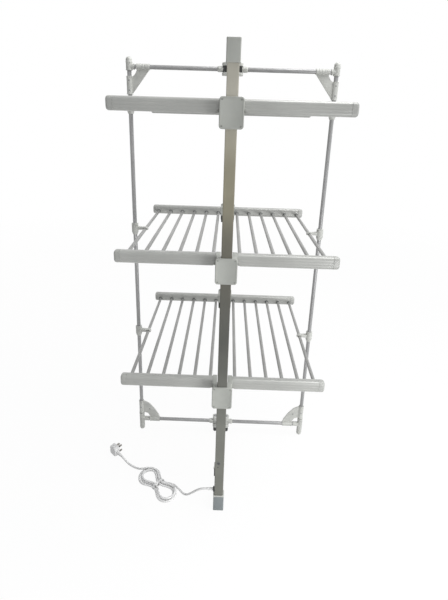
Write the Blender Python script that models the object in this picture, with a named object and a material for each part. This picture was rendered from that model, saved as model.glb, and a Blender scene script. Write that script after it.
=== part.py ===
"""Three-tier heated clothes airer, standing open.

Two upright posts, front and rear, are held together by a low and a high beam. Each beam carries a hub
in the middle, and on the hubs' pins swing two side frames of round tube. Six shelf wings, each a pair
of headers with six heated rods between them, hinge on brackets that are clamped to the posts, and
their outermost rods sit under hooks on the side frames. Metres, +Z up. The origin is on the floor, in
the middle of the airer. -Y is the side with the mains lead.
"""

import math

import bmesh
import bpy
import numpy as np
from mathutils import Matrix, Vector

# ---------------------------------------------------------------- driving dimensions (metres)
GAP = 0.0003            # between neighbours that touch on the real airer
RUNNING = 0.00006       # least radial clearance of a pin in its bore
SLIDE = 0.00045         # radial clearance of a rod under its hook
CUT_MARGIN = 0.002      # a cutter reaches this far past what it cuts
OVERLAP = 0.001         # joined shapes reach this far into each other

AIRER_HEIGHT = 1.461
FIRST_TIER = 0.475      # height of the lowest header's middle
TOP_TIER_DROP = 0.152   # the highest header's middle, below the airer's top
TIERS = ("low", "mid", "top")

HEADER_PAST = 0.0265    # outer end of a header, beyond the last rod
HEADER_LINE = 0.320     # middle of a header's depth, from the middle of the airer
HEADER_HEIGHT = 0.037
HEADER_DEPTH = 0.027
HEADER_CORNER = 0.009   # radius along the header
HEADER_END = 0.008      # rounding of its outer end
HEADER_WALL = 0.003

ROD_RADIUS = 0.00575
ROD_COUNT = 6
ROD_FIRST = 0.040       # first rod from the middle
ROD_PITCH = 0.0517
ROD_DROP = 0.006        # rods lie this far below the header's middle
CARRIER_HEIGHT = 0.0124
CARRIER_THICK = 0.0037
CARRIER_START = 0.002   # from the header's inner end
CARRIER_PAST = 0.012    # beyond the last rod

WING_PIN_RADIUS = 0.003
WING_PIN_INSET = 0.010  # from the header's inner end and from its underside
TONGUE_THICK = 0.008
TONGUE_RADIUS = 0.008
TONGUE_OFFSET = 0.0035  # tongue's middle, outwards from the header's middle
TONGUE_SLACK = 0.0006   # round the tongue's nose, inside the header's slot
PIN_BITE = 0.003        # how far a pin goes into each side of the header's slot
HINGE_BLOCK = 0.024     # length of the header's solid inner end

POST_WIDTH = 0.030
POST_DEPTH = 0.020
POST_WALL = 0.0015
POST_CORNER = 0.002
POST_OUT = 0.055        # outer face of a post, beyond the middle of the headers' depth
POST_INSET = 0.003      # from the floor, and from the top of its cap
CAP_HEIGHT = 0.0553
CAP_PROUD = 0.003
CAP_CORNER = 0.003
FOOT_HEIGHT = 0.0644

PLATE_WIDTH = 0.062
PLATE_HEIGHT = 0.077
PLATE_THICK = 0.0037
PLATE_CORNER = 0.008
PLATE_DROP = 0.017      # the plate's middle, below the header's middle
CLAMP_WIDTH = 0.056
CLAMP_BACK = 0.010      # clamp wall behind the post
CLAMP_MARGIN = 0.003    # the clamp is this much shorter than the plate, above and below
ARM_THICK = 0.014

TUBE_RADIUS = 0.007
TUBE_WALL = 0.0012
SIDE_OUT = 0.0105       # side frame's upright, beyond the headers' outer ends
RAIL_LOW = 0.050
RAIL_DROP = 0.031       # high rail's middle, below the airer's top
UPRIGHT_FOOT = 0.010
UPRIGHT_ABOVE = 0.018   # upright's top, above the high rail's middle

HUB_PIN_REACH = 0.024   # side frames' pins, from the middle
HUB_PIN_RADIUS = 0.004
HUB_END = 0.034
HUB_HALF_DEPTH = 0.012
HUB_PLATE_HIGH = 0.0097
HUB_PLATE_LOW = 0.0165
HUB_WEB = 0.014
HUB_CORNER = 0.0095
EYE_RADIUS = 0.009
EYE_HALF = 0.0095
COLLAR_START = 0.035
COLLAR_LENGTH = 0.011
COLLAR_RADIUS = 0.0095
HUB_FOOT_RADIUS = 0.0075
HUB_FOOT_TIP = 0.0045
HUB_FOOT_BEVEL = 0.003

BEAM_WIDTH = 0.014
BEAM_HEIGHT = 0.018
BEAM_WALL = 0.0015
BEAM_CORNER = 0.0015
BEAM_SLACK = 0.0006     # in the hub's hole, over the whole width

FITTING_RADIUS = 0.0102     # tees
STUB_RADIUS = 0.0090
SLEEVE_RADIUS = 0.0098      # gussets
FITTING_BORE = TUBE_RADIUS + 0.00035
HIGH_TEE_BELOW = 0.0115     # from the high rail's middle
HIGH_TEE_ABOVE = 0.030
HIGH_STUB = 0.018
LOW_TEE_ABOVE = 0.029       # from the low rail's middle
LOW_STUB = 0.030
DOME = 0.011                # height of the high tee's round top
DOME_SHOULDER = 0.0045
DOME_CROWN = 0.001
TOE = 0.012                 # height of the low tee's round foot
TOE_SHOULDER = 0.006
TOE_TIP = 0.0015
WEB_THICK = 0.005
HIGH_RAIL_SLEEVE = (0.0675, 0.0235)     # ends, inwards from the upright's middle
HIGH_POST_SLEEVE = (0.085, 0.029)       # ends, below the high rail's middle
LOW_RAIL_SLEEVE = (0.0745, 0.034)       # ends, inwards from the upright's middle
LOW_POST_SLEEVE = (0.032, 0.0905)       # ends, above the low rail's middle
WEB_INSET = 0.009           # from a tube's middle to the web's outer edge
WEB_ROOT = 0.0105           # from a tube's middle to where the web's inner edge starts
HIGH_WEB_HOLLOW = (0.0045, 0.007)       # inner edge's middle, from the two sleeves
LOW_WEB_HOLLOW = (0.008, 0.004)
LOW_WEB_BULGE = ((0.0225, 0.012), (0.045, 0.039))   # outer edge, from its ends on the upright
LOW_WEB_RISE = 0.019        # outer edge's end above the rail's middle

HOOK_RADIUS = 0.0118
HOOK_TIP_RADIUS = 0.0090
HOOK_ABOVE = 0.016          # from the header's middle
HOOK_BELOW = 0.025
HOOK_TAPER = 0.008
HOOK_HALF_WIDTH = 0.007
HOOK_CROWN = 0.0095         # top of the saddle above the rod's middle
HOOK_LIP = 0.0010           # the saddle's cheeks end this far below the rod's middle
HOOK_CHEEK = 0.0040
HOOK_REACH = 0.020          # cutters for the saddle reach this far to front and rear

SWITCH_HEIGHT = 0.163
ROCKER_HALF = 0.0100
ROCKER_HALF_WIDTH = 0.0050
ROCKER_TILT = 7.0           # degrees each way
ROCKER_PIVOT = 0.0125       # from the post's middle
ROCKER_PROUD = 0.0052
ROCKER_DISH = 0.0035
ROCKER_BACK = 0.0030
ROCKER_TAPER = 0.8          # its inside's height as a share of its outside's

GLAND_HEIGHT = 0.082
GLAND_FLANGE = 0.009
GLAND_FLANGE_THICK = 0.0040
GLAND_NECK = 0.0055
GLAND_NUT = 0.0075
GLAND_NUT_LENGTH = 0.004
GLAND_BEVEL = 0.001
RELIEF_LENGTH = 0.021
RELIEF_TIP = 0.0045

CORD_RADIUS = 0.0035
CORD_STEP = 2.4 * 2 * CORD_RADIUS   # between the points of a plain stretch
PLUG_EXIT = Vector((-0.385, -0.1755, 0.020))
PLUG_TURN = 140.0                   # degrees: the way the lead runs into the plug
PLUG_LENGTH = 0.038
PLUG_WIDTH = 0.040
PLUG_THICK = 0.020
PLUG_CORNER = 0.009
PLUG_BOSS = 0.020
PLUG_BOSS_RADIUS = 0.0068
PLUG_BOSS_TIP = 0.0045
PIN_LINE = 0.0080                   # live and neutral pins, towards the lead
PIN_SPREAD = 0.0111                 # from the plug's middle line
PIN_WIDTH = 0.0064
PIN_THICK = 0.0040
PIN_LENGTH = 0.0177
EARTH_OFFSET = 0.0222               # earth pin, away from the other two
EARTH_WIDTH = 0.0080
EARTH_LENGTH = 0.0227

HANK_MIDDLE = Vector((-0.222, -0.287))
HANK_TURN = 138.0           # degrees: the hank's long direction
HANK_HALF_RUN = 0.050
HANK_FOLD = 0.022           # radius of the innermost fold
HANK_WAIST = 0.0042         # half the opening between the innermost runs
HANK_STEP = 0.0080          # between turns at the folds
HANK_WAIST_STEP = 0.0091    # between turns along the runs
HANK_LAYER = 0.0076
HANK_TURNS_DOWN = 2.0       # turns that spiral in along the floor
HANK_START = -0.14
HANK_END = 3.195
HANK_CLIMB = 0.5
LOOP_POINTS = 24
RUN_SHARE = 0.28            # share of a turn that one run takes

ROUND = 10                  # sides of tubes and bores
ROD_SIDES = 8

# ---------------------------------------------------------------- worked-out places
LAST_ROD = ROD_FIRST + (ROD_COUNT - 1) * ROD_PITCH
HEADER_REACH = LAST_ROD + HEADER_PAST
POST_FACE = HEADER_LINE + POST_OUT
TOP_TIER = AIRER_HEIGHT - TOP_TIER_DROP
RAIL_HIGH = AIRER_HEIGHT - RAIL_DROP
UPRIGHT_TOP = RAIL_HIGH + UPRIGHT_ABOVE
SIDE_LINE = HEADER_REACH + SIDE_OUT
ARM_OUTER = PLATE_WIDTH / 2
HEADER_START = ARM_OUTER + GAP
WING_PIN_X = HEADER_START + WING_PIN_INSET
WING_PIN_Z = WING_PIN_INSET - HEADER_HEIGHT / 2      # from the header's middle
HEADER_INNER = HEADER_LINE - HEADER_DEPTH / 2
HEADER_OUTER = HEADER_LINE + HEADER_DEPTH / 2
TONGUE_LINE = HEADER_LINE + TONGUE_OFFSET
POST_LINE = POST_FACE - POST_DEPTH / 2
POST_BACK = POST_FACE - POST_DEPTH
PLATE_BACK = POST_FACE + GAP
RAIL_END = SIDE_LINE - TUBE_RADIUS - GAP
TIER_HEIGHTS = dict(zip(TIERS, np.linspace(FIRST_TIER, TOP_TIER, len(TIERS)).tolist()))
SIDES = {"left": -1, "right": 1}
FACES = {"front": -1, "rear": 1}


def outer_radius(inner, sides):
    """Corner radius of a regular polygon whose flats are `inner` from its middle."""
    return inner / math.cos(math.pi / sides)


# ---------------------------------------------------------------- mesh helpers
def finish(bm):
    """Point every face outwards."""
    bmesh.ops.recalc_face_normals(bm, faces=bm.faces)
    return bm


def loft(rings, start_point=None, end_point=None):
    """Join rings of points into a closed skin, ended by faces or by single points."""
    bm = bmesh.new()
    loops = [[bm.verts.new(p) for p in ring] for ring in rings]
    count = len(rings[0])
    for a, b in zip(loops, loops[1:]):
        for i in range(count):
            j = (i + 1) % count
            bm.faces.new((a[i], a[j], b[j], b[i]))
    for loop, tip in ((loops[0], start_point), (loops[-1], end_point)):
        if tip is None:
            bm.faces.new(loop)
            continue
        point = bm.verts.new(tip)
        for i in range(count):
            bm.faces.new((loop[i], loop[(i + 1) % count], point))
    return finish(bm)


def on_axis(axis, along, u, v):
    """A point `along` the axis, with u and v across it in X, Y, Z order."""
    return {"x": (along, u, v), "y": (u, along, v), "z": (u, v, along)}[axis]


def prism(outline, axis, low, high):
    """An outline across an axis, extruded along it from low to high."""
    return loft([[on_axis(axis, a, u, v) for u, v in outline] for a in (low, high)])


def box(x, y, z):
    """A box between three pairs of limits."""
    outline = [(x[0], y[0]), (x[1], y[0]), (x[1], y[1]), (x[0], y[1])]
    return prism(outline, "z", *z)


def circle(radius, sides=ROUND, middle=(0.0, 0.0)):
    """Points round a circle, the first one half a step from the first direction."""
    angles = (np.arange(sides) + 0.5) * 2 * math.pi / sides
    return [(middle[0] + radius * math.cos(a), middle[1] + radius * math.sin(a)) for a in angles]


def rod(axis, low, high, radius, middle=(0.0, 0.0), sides=ROUND):
    """A round bar along an axis."""
    return prism(circle(radius, sides, middle), axis, low, high)


def turned(axis, profile, middle=(0.0, 0.0), sides=ROUND):
    """A turned solid: profile is (along, radius) pairs; a radius of 0 is a point on the axis."""
    rings = [[on_axis(axis, a, u, v) for u, v in circle(r, sides, middle)] for a, r in profile if r > 0]
    tips = [on_axis(axis, a, *middle) if r == 0 else None for a, r in (profile[0], profile[-1])]
    return loft(rings, *tips)


def arc(middle, radius, first, last, steps):
    """Points on a circle from one angle to another, in degrees."""
    angles = np.radians(np.linspace(first, last, steps + 1))
    return [(middle[0] + radius * math.cos(a), middle[1] + radius * math.sin(a)) for a in angles]


def rounded(width, height, radius, steps=2, middle=(0.0, 0.0)):
    """A rectangle with round corners."""
    points = []
    for quarter, (i, j) in enumerate(((1, 1), (-1, 1), (-1, -1), (1, -1))):
        corner = (middle[0] + i * (width / 2 - radius), middle[1] + j * (height / 2 - radius))
        points += arc(corner, radius, 90 * quarter, 90 * quarter + 90, steps)
    return points


def hollow_bar(outer, inner, axis, low, high):
    """A tube with open ends between two outlines of as many points."""
    bm = bmesh.new()
    rings = [[bm.verts.new(on_axis(axis, a, u, v)) for u, v in outline]
             for outline, a in ((outer, low), (outer, high), (inner, high), (inner, low))]
    count = len(outer)
    for k in range(4):
        a, b = rings[k], rings[(k + 1) % 4]
        for i in range(count):
            j = (i + 1) % count
            bm.faces.new((a[i], a[j], b[j], b[i]))
    return finish(bm)


def together(*parts):
    """Several separate skins in one mesh, for a cutter or for pieces to be joined."""
    bm = bmesh.new()
    for part in parts:
        mesh = bpy.data.meshes.new("part")
        part.to_mesh(mesh)
        bm.from_mesh(mesh)
        bpy.data.meshes.remove(mesh)
    return bm


def guide(bm, name):
    """A hidden object that a Boolean modifier reads."""
    mesh = bpy.data.meshes.new(name)
    bm.to_mesh(mesh)
    obj = bpy.data.objects.new(name, mesh)
    bpy.context.collection.objects.link(obj)
    obj.hide_render = True
    obj.display_type = "WIRE"
    return obj


def shaped(base, joins=(), cuts=()):
    """The base with pieces joined to it and others cut from it, as one mesh."""
    body = guide(base, "body")
    helpers = []
    for operation, pieces in (("UNION", joins), ("DIFFERENCE", cuts)):
        for piece in pieces:
            helper = guide(piece, "helper")
            step = body.modifiers.new(operation.lower(), "BOOLEAN")
            step.operation = operation
            step.solver = "EXACT"
            step.object = helper
            helpers.append(helper)
    view = bpy.context.evaluated_depsgraph_get()
    mesh = bpy.data.meshes.new_from_object(body.evaluated_get(view))
    for obj in (body, *helpers):
        bpy.data.objects.remove(obj)
    return mesh


def plain(bm):
    """A mesh straight from its faces."""
    mesh = bpy.data.meshes.new("plain")
    bm.to_mesh(mesh)
    return mesh


def mirrored(mesh, x=1, y=1):
    """A copy with its X or Y turned round, and its faces still outwards."""
    copy = mesh.copy()
    copy.transform(Matrix.Diagonal((x, y, 1, 1)))
    if x * y < 0:
        copy.flip_normals()
    return copy


# ---------------------------------------------------------------- materials
def material(name, colour, roughness, metallic=0.0):
    """A Principled material from an sRGB colour of three bytes."""
    made = bpy.data.materials.new(name)
    made.use_nodes = True
    shader = made.node_tree.nodes["Principled BSDF"]
    linear = [(c / 255 / 12.92) if c <= 10 else ((c / 255 + 0.055) / 1.055) ** 2.4 for c in colour]
    shader.inputs["Base Color"].default_value = (*linear, 1.0)
    shader.inputs["Roughness"].default_value = roughness
    shader.inputs["Metallic"].default_value = metallic
    made.diffuse_color = (*linear, 1.0)
    return made


def materials():
    """Every finish on the airer."""
    return {
        "post": material("silver_grey_anodised_aluminium", (160, 157, 145), 0.42, 0.6),
        "header": material("silver_painted_aluminium", (176, 178, 172), 0.45, 0.4),
        "rod": material("bare_drawn_aluminium", (163, 163, 163), 0.35, 0.8),
        "tube": material("silver_powder_coated_steel", (150, 150, 148), 0.40, 0.5),
        "fitting": material("pale_grey_moulded_plastic", (184, 186, 180), 0.5),
        "cap": material("grey_moulded_plastic", (150, 153, 151), 0.5),
        "black": material("black_moulded_plastic", (38, 38, 38), 0.45),
        "cord": material("white_flexible_pvc", (205, 205, 200), 0.45),
    }


def place(name, mesh, finish_name, palette, origin=(0, 0, 0), lift=0.0):
    """A finished piece: its mesh is moved so that the object's origin lies on its joint or seat."""
    copy = mesh.copy()
    copy.transform(Matrix.Translation(-Vector(origin)))
    copy.materials.clear()
    copy.materials.append(palette[finish_name])
    copy.name = name
    obj = bpy.data.objects.new(name, copy)
    obj.location = Vector(origin) + Vector((0, 0, lift))
    bpy.context.collection.objects.link(obj)
    copy.shade_smooth()
    copy.set_sharp_from_angle(angle=math.radians(35))
    return obj


# ---------------------------------------------------------------- posts, caps, feet and beams
def post_mesh(with_electrics):
    """A rectangular tube; the front one has a window for the switch and a hole for the gland."""
    middle = (0, POST_LINE)
    outer = rounded(POST_WIDTH, POST_DEPTH, POST_CORNER, 1, middle)
    inner = rounded(POST_WIDTH - 2 * POST_WALL, POST_DEPTH - 2 * POST_WALL, POST_CORNER / 2, 1, middle)
    bar = hollow_bar(outer, inner, "z", POST_INSET, AIRER_HEIGHT - POST_INSET)
    if not with_electrics:
        return plain(bar)
    outside = POST_WIDTH / 2 + POST_WALL
    inside = POST_WIDTH / 2 - 2 * POST_WALL
    corner = math.hypot(ROCKER_HALF, ROCKER_PROUD) + GAP
    half = ROCKER_HALF_WIDTH + GAP
    window = box((-outside, -inside), (POST_LINE - half, POST_LINE + half),
                 (SWITCH_HEIGHT - corner, SWITCH_HEIGHT + corner))
    hole = rod("x", -outside, -inside, GLAND_NECK + GAP, (POST_LINE, GLAND_HEIGHT), ROD_SIDES)
    return shaped(bar, cuts=(window, hole))


def cap_mesh(low, high, mouth, stop):
    """A cup over a post's end: its mouth and its inner end are heights."""
    middle = (0, POST_LINE)
    outer = rounded(POST_WIDTH + 2 * CAP_PROUD, POST_DEPTH + 2 * CAP_PROUD, CAP_CORNER, 2, middle)
    inner = rounded(POST_WIDTH + 2 * GAP, POST_DEPTH + 2 * GAP, POST_CORNER, 1, middle)
    return shaped(prism(outer, "z", low, high), cuts=(prism(inner, "z", *sorted((mouth, stop))),))


def beam_mesh(height):
    """A rectangular tube from one cap or foot to the other, through the hub."""
    reach = POST_BACK - CAP_PROUD - GAP
    middle = (0, height)
    outer = rounded(BEAM_WIDTH, BEAM_HEIGHT, BEAM_CORNER, 1, middle)
    inner = rounded(BEAM_WIDTH - 2 * BEAM_WALL, BEAM_HEIGHT - 2 * BEAM_WALL, BEAM_CORNER / 3, 1, middle)
    return plain(hollow_bar(outer, inner, "y", -reach, reach))


def hub_mesh(height, plate, foot):
    """A block round the beam with two pairs of lugs and the side frames' pins between them."""
    inner = EYE_HALF + GAP
    outer = inner + plate
    lug = rounded(2 * HUB_END, 2 * HUB_HALF_DEPTH, HUB_CORNER)
    web = box((-HUB_WEB, HUB_WEB), (-HUB_HALF_DEPTH, HUB_HALF_DEPTH), (height - outer, height + outer))
    lugs = [prism(lug, "z", height + a, height + b) for a, b in ((-outer, -inner), (inner, outer))]
    pins = [rod("z", height - inner - OVERLAP, height + inner + OVERLAP, HUB_PIN_RADIUS, (x, 0))
            for x in (-HUB_PIN_REACH, HUB_PIN_REACH)]
    feet = []
    if foot:
        profile = ((0.0, HUB_FOOT_TIP), (HUB_FOOT_BEVEL, HUB_FOOT_RADIUS),
                   (height - inner - OVERLAP, HUB_FOOT_RADIUS))
        feet = [turned("z", profile, (x, 0)) for x in (-HUB_PIN_REACH, HUB_PIN_REACH)]
    hole = prism(rounded(BEAM_WIDTH + BEAM_SLACK, BEAM_HEIGHT + BEAM_SLACK, BEAM_CORNER, 1, (0, height)),
                 "y", -2 * HUB_HALF_DEPTH, 2 * HUB_HALF_DEPTH)
    return shaped(web, joins=(*lugs, together(*pins), *feet), cuts=(hole,))


# ---------------------------------------------------------------- brackets, headers and rods
def bracket_mesh():
    """A clamp round the rear post with its plate, two arms, and a tongue with a hinge pin on each."""
    middle = -PLATE_DROP
    half = PLATE_HEIGHT / 2 - CLAMP_MARGIN
    clamp = box((-CLAMP_WIDTH / 2, CLAMP_WIDTH / 2),
                (POST_BACK - GAP - CLAMP_BACK, PLATE_BACK + PLATE_THICK / 3), (middle - half, middle + half))
    plate = prism(rounded(PLATE_WIDTH, PLATE_HEIGHT, PLATE_CORNER, 2, (0, middle)),
                  "y", PLATE_BACK, PLATE_BACK + PLATE_THICK)
    arms, tongues, pins = [], [], []
    for side in (-1, 1):
        x = sorted((side * ARM_OUTER, side * (ARM_OUTER - ARM_THICK)))
        arms.append(box(x, (HEADER_INNER, POST_BACK - CLAMP_BACK / 2),
                        (-HEADER_HEIGHT / 2, HEADER_HEIGHT / 2)))
        nose = arc((WING_PIN_X, WING_PIN_Z), TONGUE_RADIUS, -90, 90, 4)
        root = ARM_OUTER - ARM_THICK / 2
        outline = [(root, WING_PIN_Z - TONGUE_RADIUS), *nose, (root, WING_PIN_Z + TONGUE_RADIUS)]
        tongues.append(prism([(side * u, v) for u, v in outline], "y",
                             TONGUE_LINE - TONGUE_THICK / 2, TONGUE_LINE + TONGUE_THICK / 2))
        reach = TONGUE_THICK / 2 + PIN_BITE
        pins.append(rod("y", TONGUE_LINE - reach, TONGUE_LINE + reach, WING_PIN_RADIUS,
                        (side * WING_PIN_X, WING_PIN_Z)))
    pocket = box((-POST_WIDTH / 2 - GAP, POST_WIDTH / 2 + GAP), (POST_BACK - GAP, POST_FACE + GAP),
                 (middle - PLATE_HEIGHT, middle + PLATE_HEIGHT))
    return shaped(clamp, joins=(plate, together(*arms), together(*tongues), together(*pins)),
                  cuts=(pocket,))


def header_mesh():
    """A hollow header at the right of the rear post, with its hinge slot and its rod holes."""
    rings = []
    for x, shrink in ((HEADER_START, 0.0),
                      *((HEADER_REACH - HEADER_END * (1 - math.sin(a)), HEADER_END * (1 - math.cos(a)))
                        for a in np.radians((0, 30, 60, 90)))):
        outline = rounded(HEADER_DEPTH - 2 * shrink, HEADER_HEIGHT - 2 * shrink,
                          HEADER_CORNER - shrink / 2, 3, (HEADER_LINE, 0))
        rings.append([(x, u, v) for u, v in outline])
    bar = loft(rings)
    bottom = -HEADER_HEIGHT / 2
    start = HEADER_START - CUT_MARGIN
    below = bottom - CUT_MARGIN
    round_off = [(start, below), (WING_PIN_X, below),
                 *arc((WING_PIN_X, WING_PIN_Z), WING_PIN_INSET, 270, 180, 3), (start, WING_PIN_Z)]
    relief = prism(round_off, "y", HEADER_INNER - CUT_MARGIN, HEADER_OUTER + CUT_MARGIN)
    nose = TONGUE_RADIUS + TONGUE_SLACK
    half = TONGUE_THICK / 2 + GAP
    slot = box((start, WING_PIN_X + nose), (TONGUE_LINE - half, TONGUE_LINE + half),
               (below, WING_PIN_Z + nose))
    bite = TONGUE_THICK / 2 + PIN_BITE + GAP
    bore = rod("y", TONGUE_LINE - bite, TONGUE_LINE + bite,
               outer_radius(WING_PIN_RADIUS + RUNNING, ROUND), (WING_PIN_X, WING_PIN_Z))
    inner_wall = HEADER_INNER + HEADER_WALL
    block_end = HEADER_START + HINGE_BLOCK
    half_carrier = CARRIER_HEIGHT / 2 + GAP
    inside_end = HEADER_REACH - HEADER_WALL - HEADER_END / 4
    groove = box((HEADER_START + CARRIER_START, inside_end),
                 (inner_wall, inner_wall + CARRIER_THICK + 2 * GAP),
                 (-ROD_DROP - half_carrier, -ROD_DROP + half_carrier))
    channel = prism(rounded(HEADER_DEPTH - 2 * HEADER_WALL, HEADER_HEIGHT - 2 * HEADER_WALL,
                            HEADER_CORNER - HEADER_WALL, 1, (HEADER_LINE, 0)),
                    "x", block_end, inside_end)
    hole_radius = ROD_RADIUS + GAP / math.cos(math.pi / ROD_SIDES)
    holes = [rod("y", HEADER_INNER - CUT_MARGIN, inner_wall + GAP, hole_radius, (x, -ROD_DROP), ROD_SIDES)
             for x in rod_places()]
    return shaped(bar, cuts=(relief, slot, bore, groove, channel, together(*holes)))


def rod_places():
    """Distances of the rods from the middle of the airer."""
    return [ROD_FIRST + i * ROD_PITCH for i in range(ROD_COUNT)]


def grille_mesh():
    """Six rods of the right-hand wing, joined inside the headers by a carrier strip at each end."""
    inside = HEADER_INNER + HEADER_WALL + GAP
    x = (HEADER_START + CARRIER_START + GAP, LAST_ROD + CARRIER_PAST)
    z = (-ROD_DROP - CARRIER_HEIGHT / 2, -ROD_DROP + CARRIER_HEIGHT / 2)
    strips = [box(x, sorted((side * inside, side * (inside + CARRIER_THICK))), z) for side in (-1, 1)]
    reach = inside + CARRIER_THICK / 2
    rods = [rod("y", -reach, reach, ROD_RADIUS, (x, -ROD_DROP), ROD_SIDES) for x in rod_places()]
    return shaped(together(*strips), joins=(together(*rods),))


# ---------------------------------------------------------------- side frames
def upright_mesh():
    """The side frame's upright tube."""
    outer = circle(TUBE_RADIUS, ROUND, (SIDE_LINE, 0))
    inner = circle(TUBE_RADIUS - TUBE_WALL, ROUND, (SIDE_LINE, 0))
    return plain(hollow_bar(outer, inner, "z", UPRIGHT_FOOT, UPRIGHT_TOP))


def rail_mesh(height):
    """A rail with the eye that turns on the hub's pin, and a collar beside it."""
    bar = rod("x", HUB_PIN_REACH + EYE_RADIUS / 2, RAIL_END, TUBE_RADIUS, (0, height))
    collar = rod("x", COLLAR_START, COLLAR_START + COLLAR_LENGTH, COLLAR_RADIUS, (0, height))
    eye = rod("z", height - EYE_HALF, height + EYE_HALF, EYE_RADIUS, (HUB_PIN_REACH, 0))
    bore = rod("z", height - 2 * EYE_HALF, height + 2 * EYE_HALF,
               outer_radius(HUB_PIN_RADIUS + RUNNING, ROUND), (HUB_PIN_REACH, 0))
    return shaped(bar, joins=(collar, eye), cuts=(bore,))


def tee_mesh(profile, stub, height, bore_from, bore_to):
    """A tee round the upright's end with a stub for the rail; profile is (height, share of its radius)."""
    body = turned("z", [(z, share * FITTING_RADIUS) for z, share in profile], (SIDE_LINE, 0))
    branch = rod("x", SIDE_LINE - stub, SIDE_LINE, STUB_RADIUS, (0, height))
    upright = rod("z", bore_from, bore_to, FITTING_BORE, (SIDE_LINE, 0))
    rail = rod("x", SIDE_LINE - stub - CUT_MARGIN, RAIL_END + GAP, FITTING_BORE, (0, height))
    return shaped(body, joins=(branch,), cuts=(upright, rail))


def high_tee_mesh():
    """The domed tee at the top of a side frame."""
    low, high = RAIL_HIGH - HIGH_TEE_BELOW, RAIL_HIGH + HIGH_TEE_ABOVE
    profile = ((low, 1.0), (high - DOME, 1.0), (high - DOME_SHOULDER, 0.86), (high - DOME_CROWN, 0.5),
               (high, 0.0))
    return tee_mesh(profile, HIGH_STUB, RAIL_HIGH, low - CUT_MARGIN, UPRIGHT_TOP + GAP)


def low_tee_mesh():
    """The tee at the bottom of a side frame, with the round foot that stands on the floor."""
    top = RAIL_LOW + LOW_TEE_ABOVE
    profile = ((0.0, 0.45), (TOE_TIP, 0.72), (TOE_SHOULDER, 0.92), (TOE, 1.0), (top, 1.0))
    return tee_mesh(profile, LOW_STUB, RAIL_LOW, UPRIGHT_FOOT - GAP, top + CUT_MARGIN)


def gusset_mesh(rail_sleeve, post_sleeve, height, web):
    """Two sleeves, one on the rail and one on the upright, joined by a flat web."""
    along = rod("x", *rail_sleeve, SLEEVE_RADIUS, (0, height))
    up = rod("z", *post_sleeve, SLEEVE_RADIUS, (SIDE_LINE, 0))
    sheet = prism(web, "y", -WEB_THICK / 2, WEB_THICK / 2)
    bores = [rod(axis, ends[0] - CUT_MARGIN, ends[1] + CUT_MARGIN, FITTING_BORE, middle)
             for axis, ends, middle in (("x", rail_sleeve, (0, height)), ("z", post_sleeve, (SIDE_LINE, 0)))]
    return shaped(sheet, joins=(along, up), cuts=bores)


def high_gusset_mesh():
    """The corner piece under the high rail: a straight outer edge and a hollow inner one."""
    x0, x1 = (SIDE_LINE - d for d in HIGH_RAIL_SLEEVE)
    z0, z1 = (RAIL_HIGH - d for d in HIGH_POST_SLEEVE)
    in_x, in_z = HIGH_WEB_HOLLOW
    web = [(x0, RAIL_HIGH), (x0, RAIL_HIGH - WEB_INSET), (SIDE_LINE - WEB_INSET, z0), (SIDE_LINE, z0),
           (SIDE_LINE, z1), (SIDE_LINE - WEB_ROOT, z1), (x1 + in_x, z1 + in_z),
           (x1, RAIL_HIGH - WEB_ROOT), (x1, RAIL_HIGH)]
    return gusset_mesh((x0, x1), (z0, z1), RAIL_HIGH, web)


def low_gusset_mesh():
    """The corner piece over the low rail: a bulging outer edge and a hollow inner one."""
    x0, x1 = (SIDE_LINE - d for d in LOW_RAIL_SLEEVE)
    z0, z1 = (RAIL_LOW + d for d in LOW_POST_SLEEVE)
    in_x, in_z = LOW_WEB_HOLLOW
    edge = SIDE_LINE - WEB_INSET
    web = [(x0, RAIL_LOW), (x1, RAIL_LOW), (x1, RAIL_LOW + WEB_ROOT), (x1 + in_x, z0 - in_z),
           (SIDE_LINE - WEB_ROOT, z0), (SIDE_LINE, z0), (SIDE_LINE, z1), (edge, z1),
           *((edge - out, z1 - down) for out, down in LOW_WEB_BULGE), (x0, RAIL_LOW + LOW_WEB_RISE)]
    return gusset_mesh((x0, x1), (z0, z1), RAIL_LOW, web)


def hook_mesh():
    """A collar on the upright with an arm whose saddle sits over the wing's last rod."""
    top, bottom = HOOK_ABOVE, -HOOK_BELOW
    profile = ((bottom, HOOK_TIP_RADIUS), (bottom + HOOK_TAPER, HOOK_RADIUS), (top, HOOK_RADIUS))
    collar = turned("z", profile, (SIDE_LINE, 0))
    half = ROD_RADIUS + SLIDE + HOOK_CHEEK
    low = -ROD_DROP - HOOK_LIP
    arm = box((LAST_ROD - half, SIDE_LINE - TUBE_RADIUS), (-HOOK_HALF_WIDTH, HOOK_HALF_WIDTH),
              (low, -ROD_DROP + HOOK_CROWN))
    across = (-HOOK_REACH, HOOK_REACH)
    groove = rod("y", *across, outer_radius(ROD_RADIUS + SLIDE, ROUND), (LAST_ROD, -ROD_DROP))
    mouth = box((LAST_ROD - ROD_RADIUS - SLIDE, LAST_ROD + ROD_RADIUS + SLIDE), across,
                (low - CUT_MARGIN, -ROD_DROP))
    bore = rod("z", bottom - CUT_MARGIN, top + CUT_MARGIN, FITTING_BORE, (SIDE_LINE, 0))
    return shaped(collar, joins=(arm,), cuts=(bore, groove, mouth))


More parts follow.
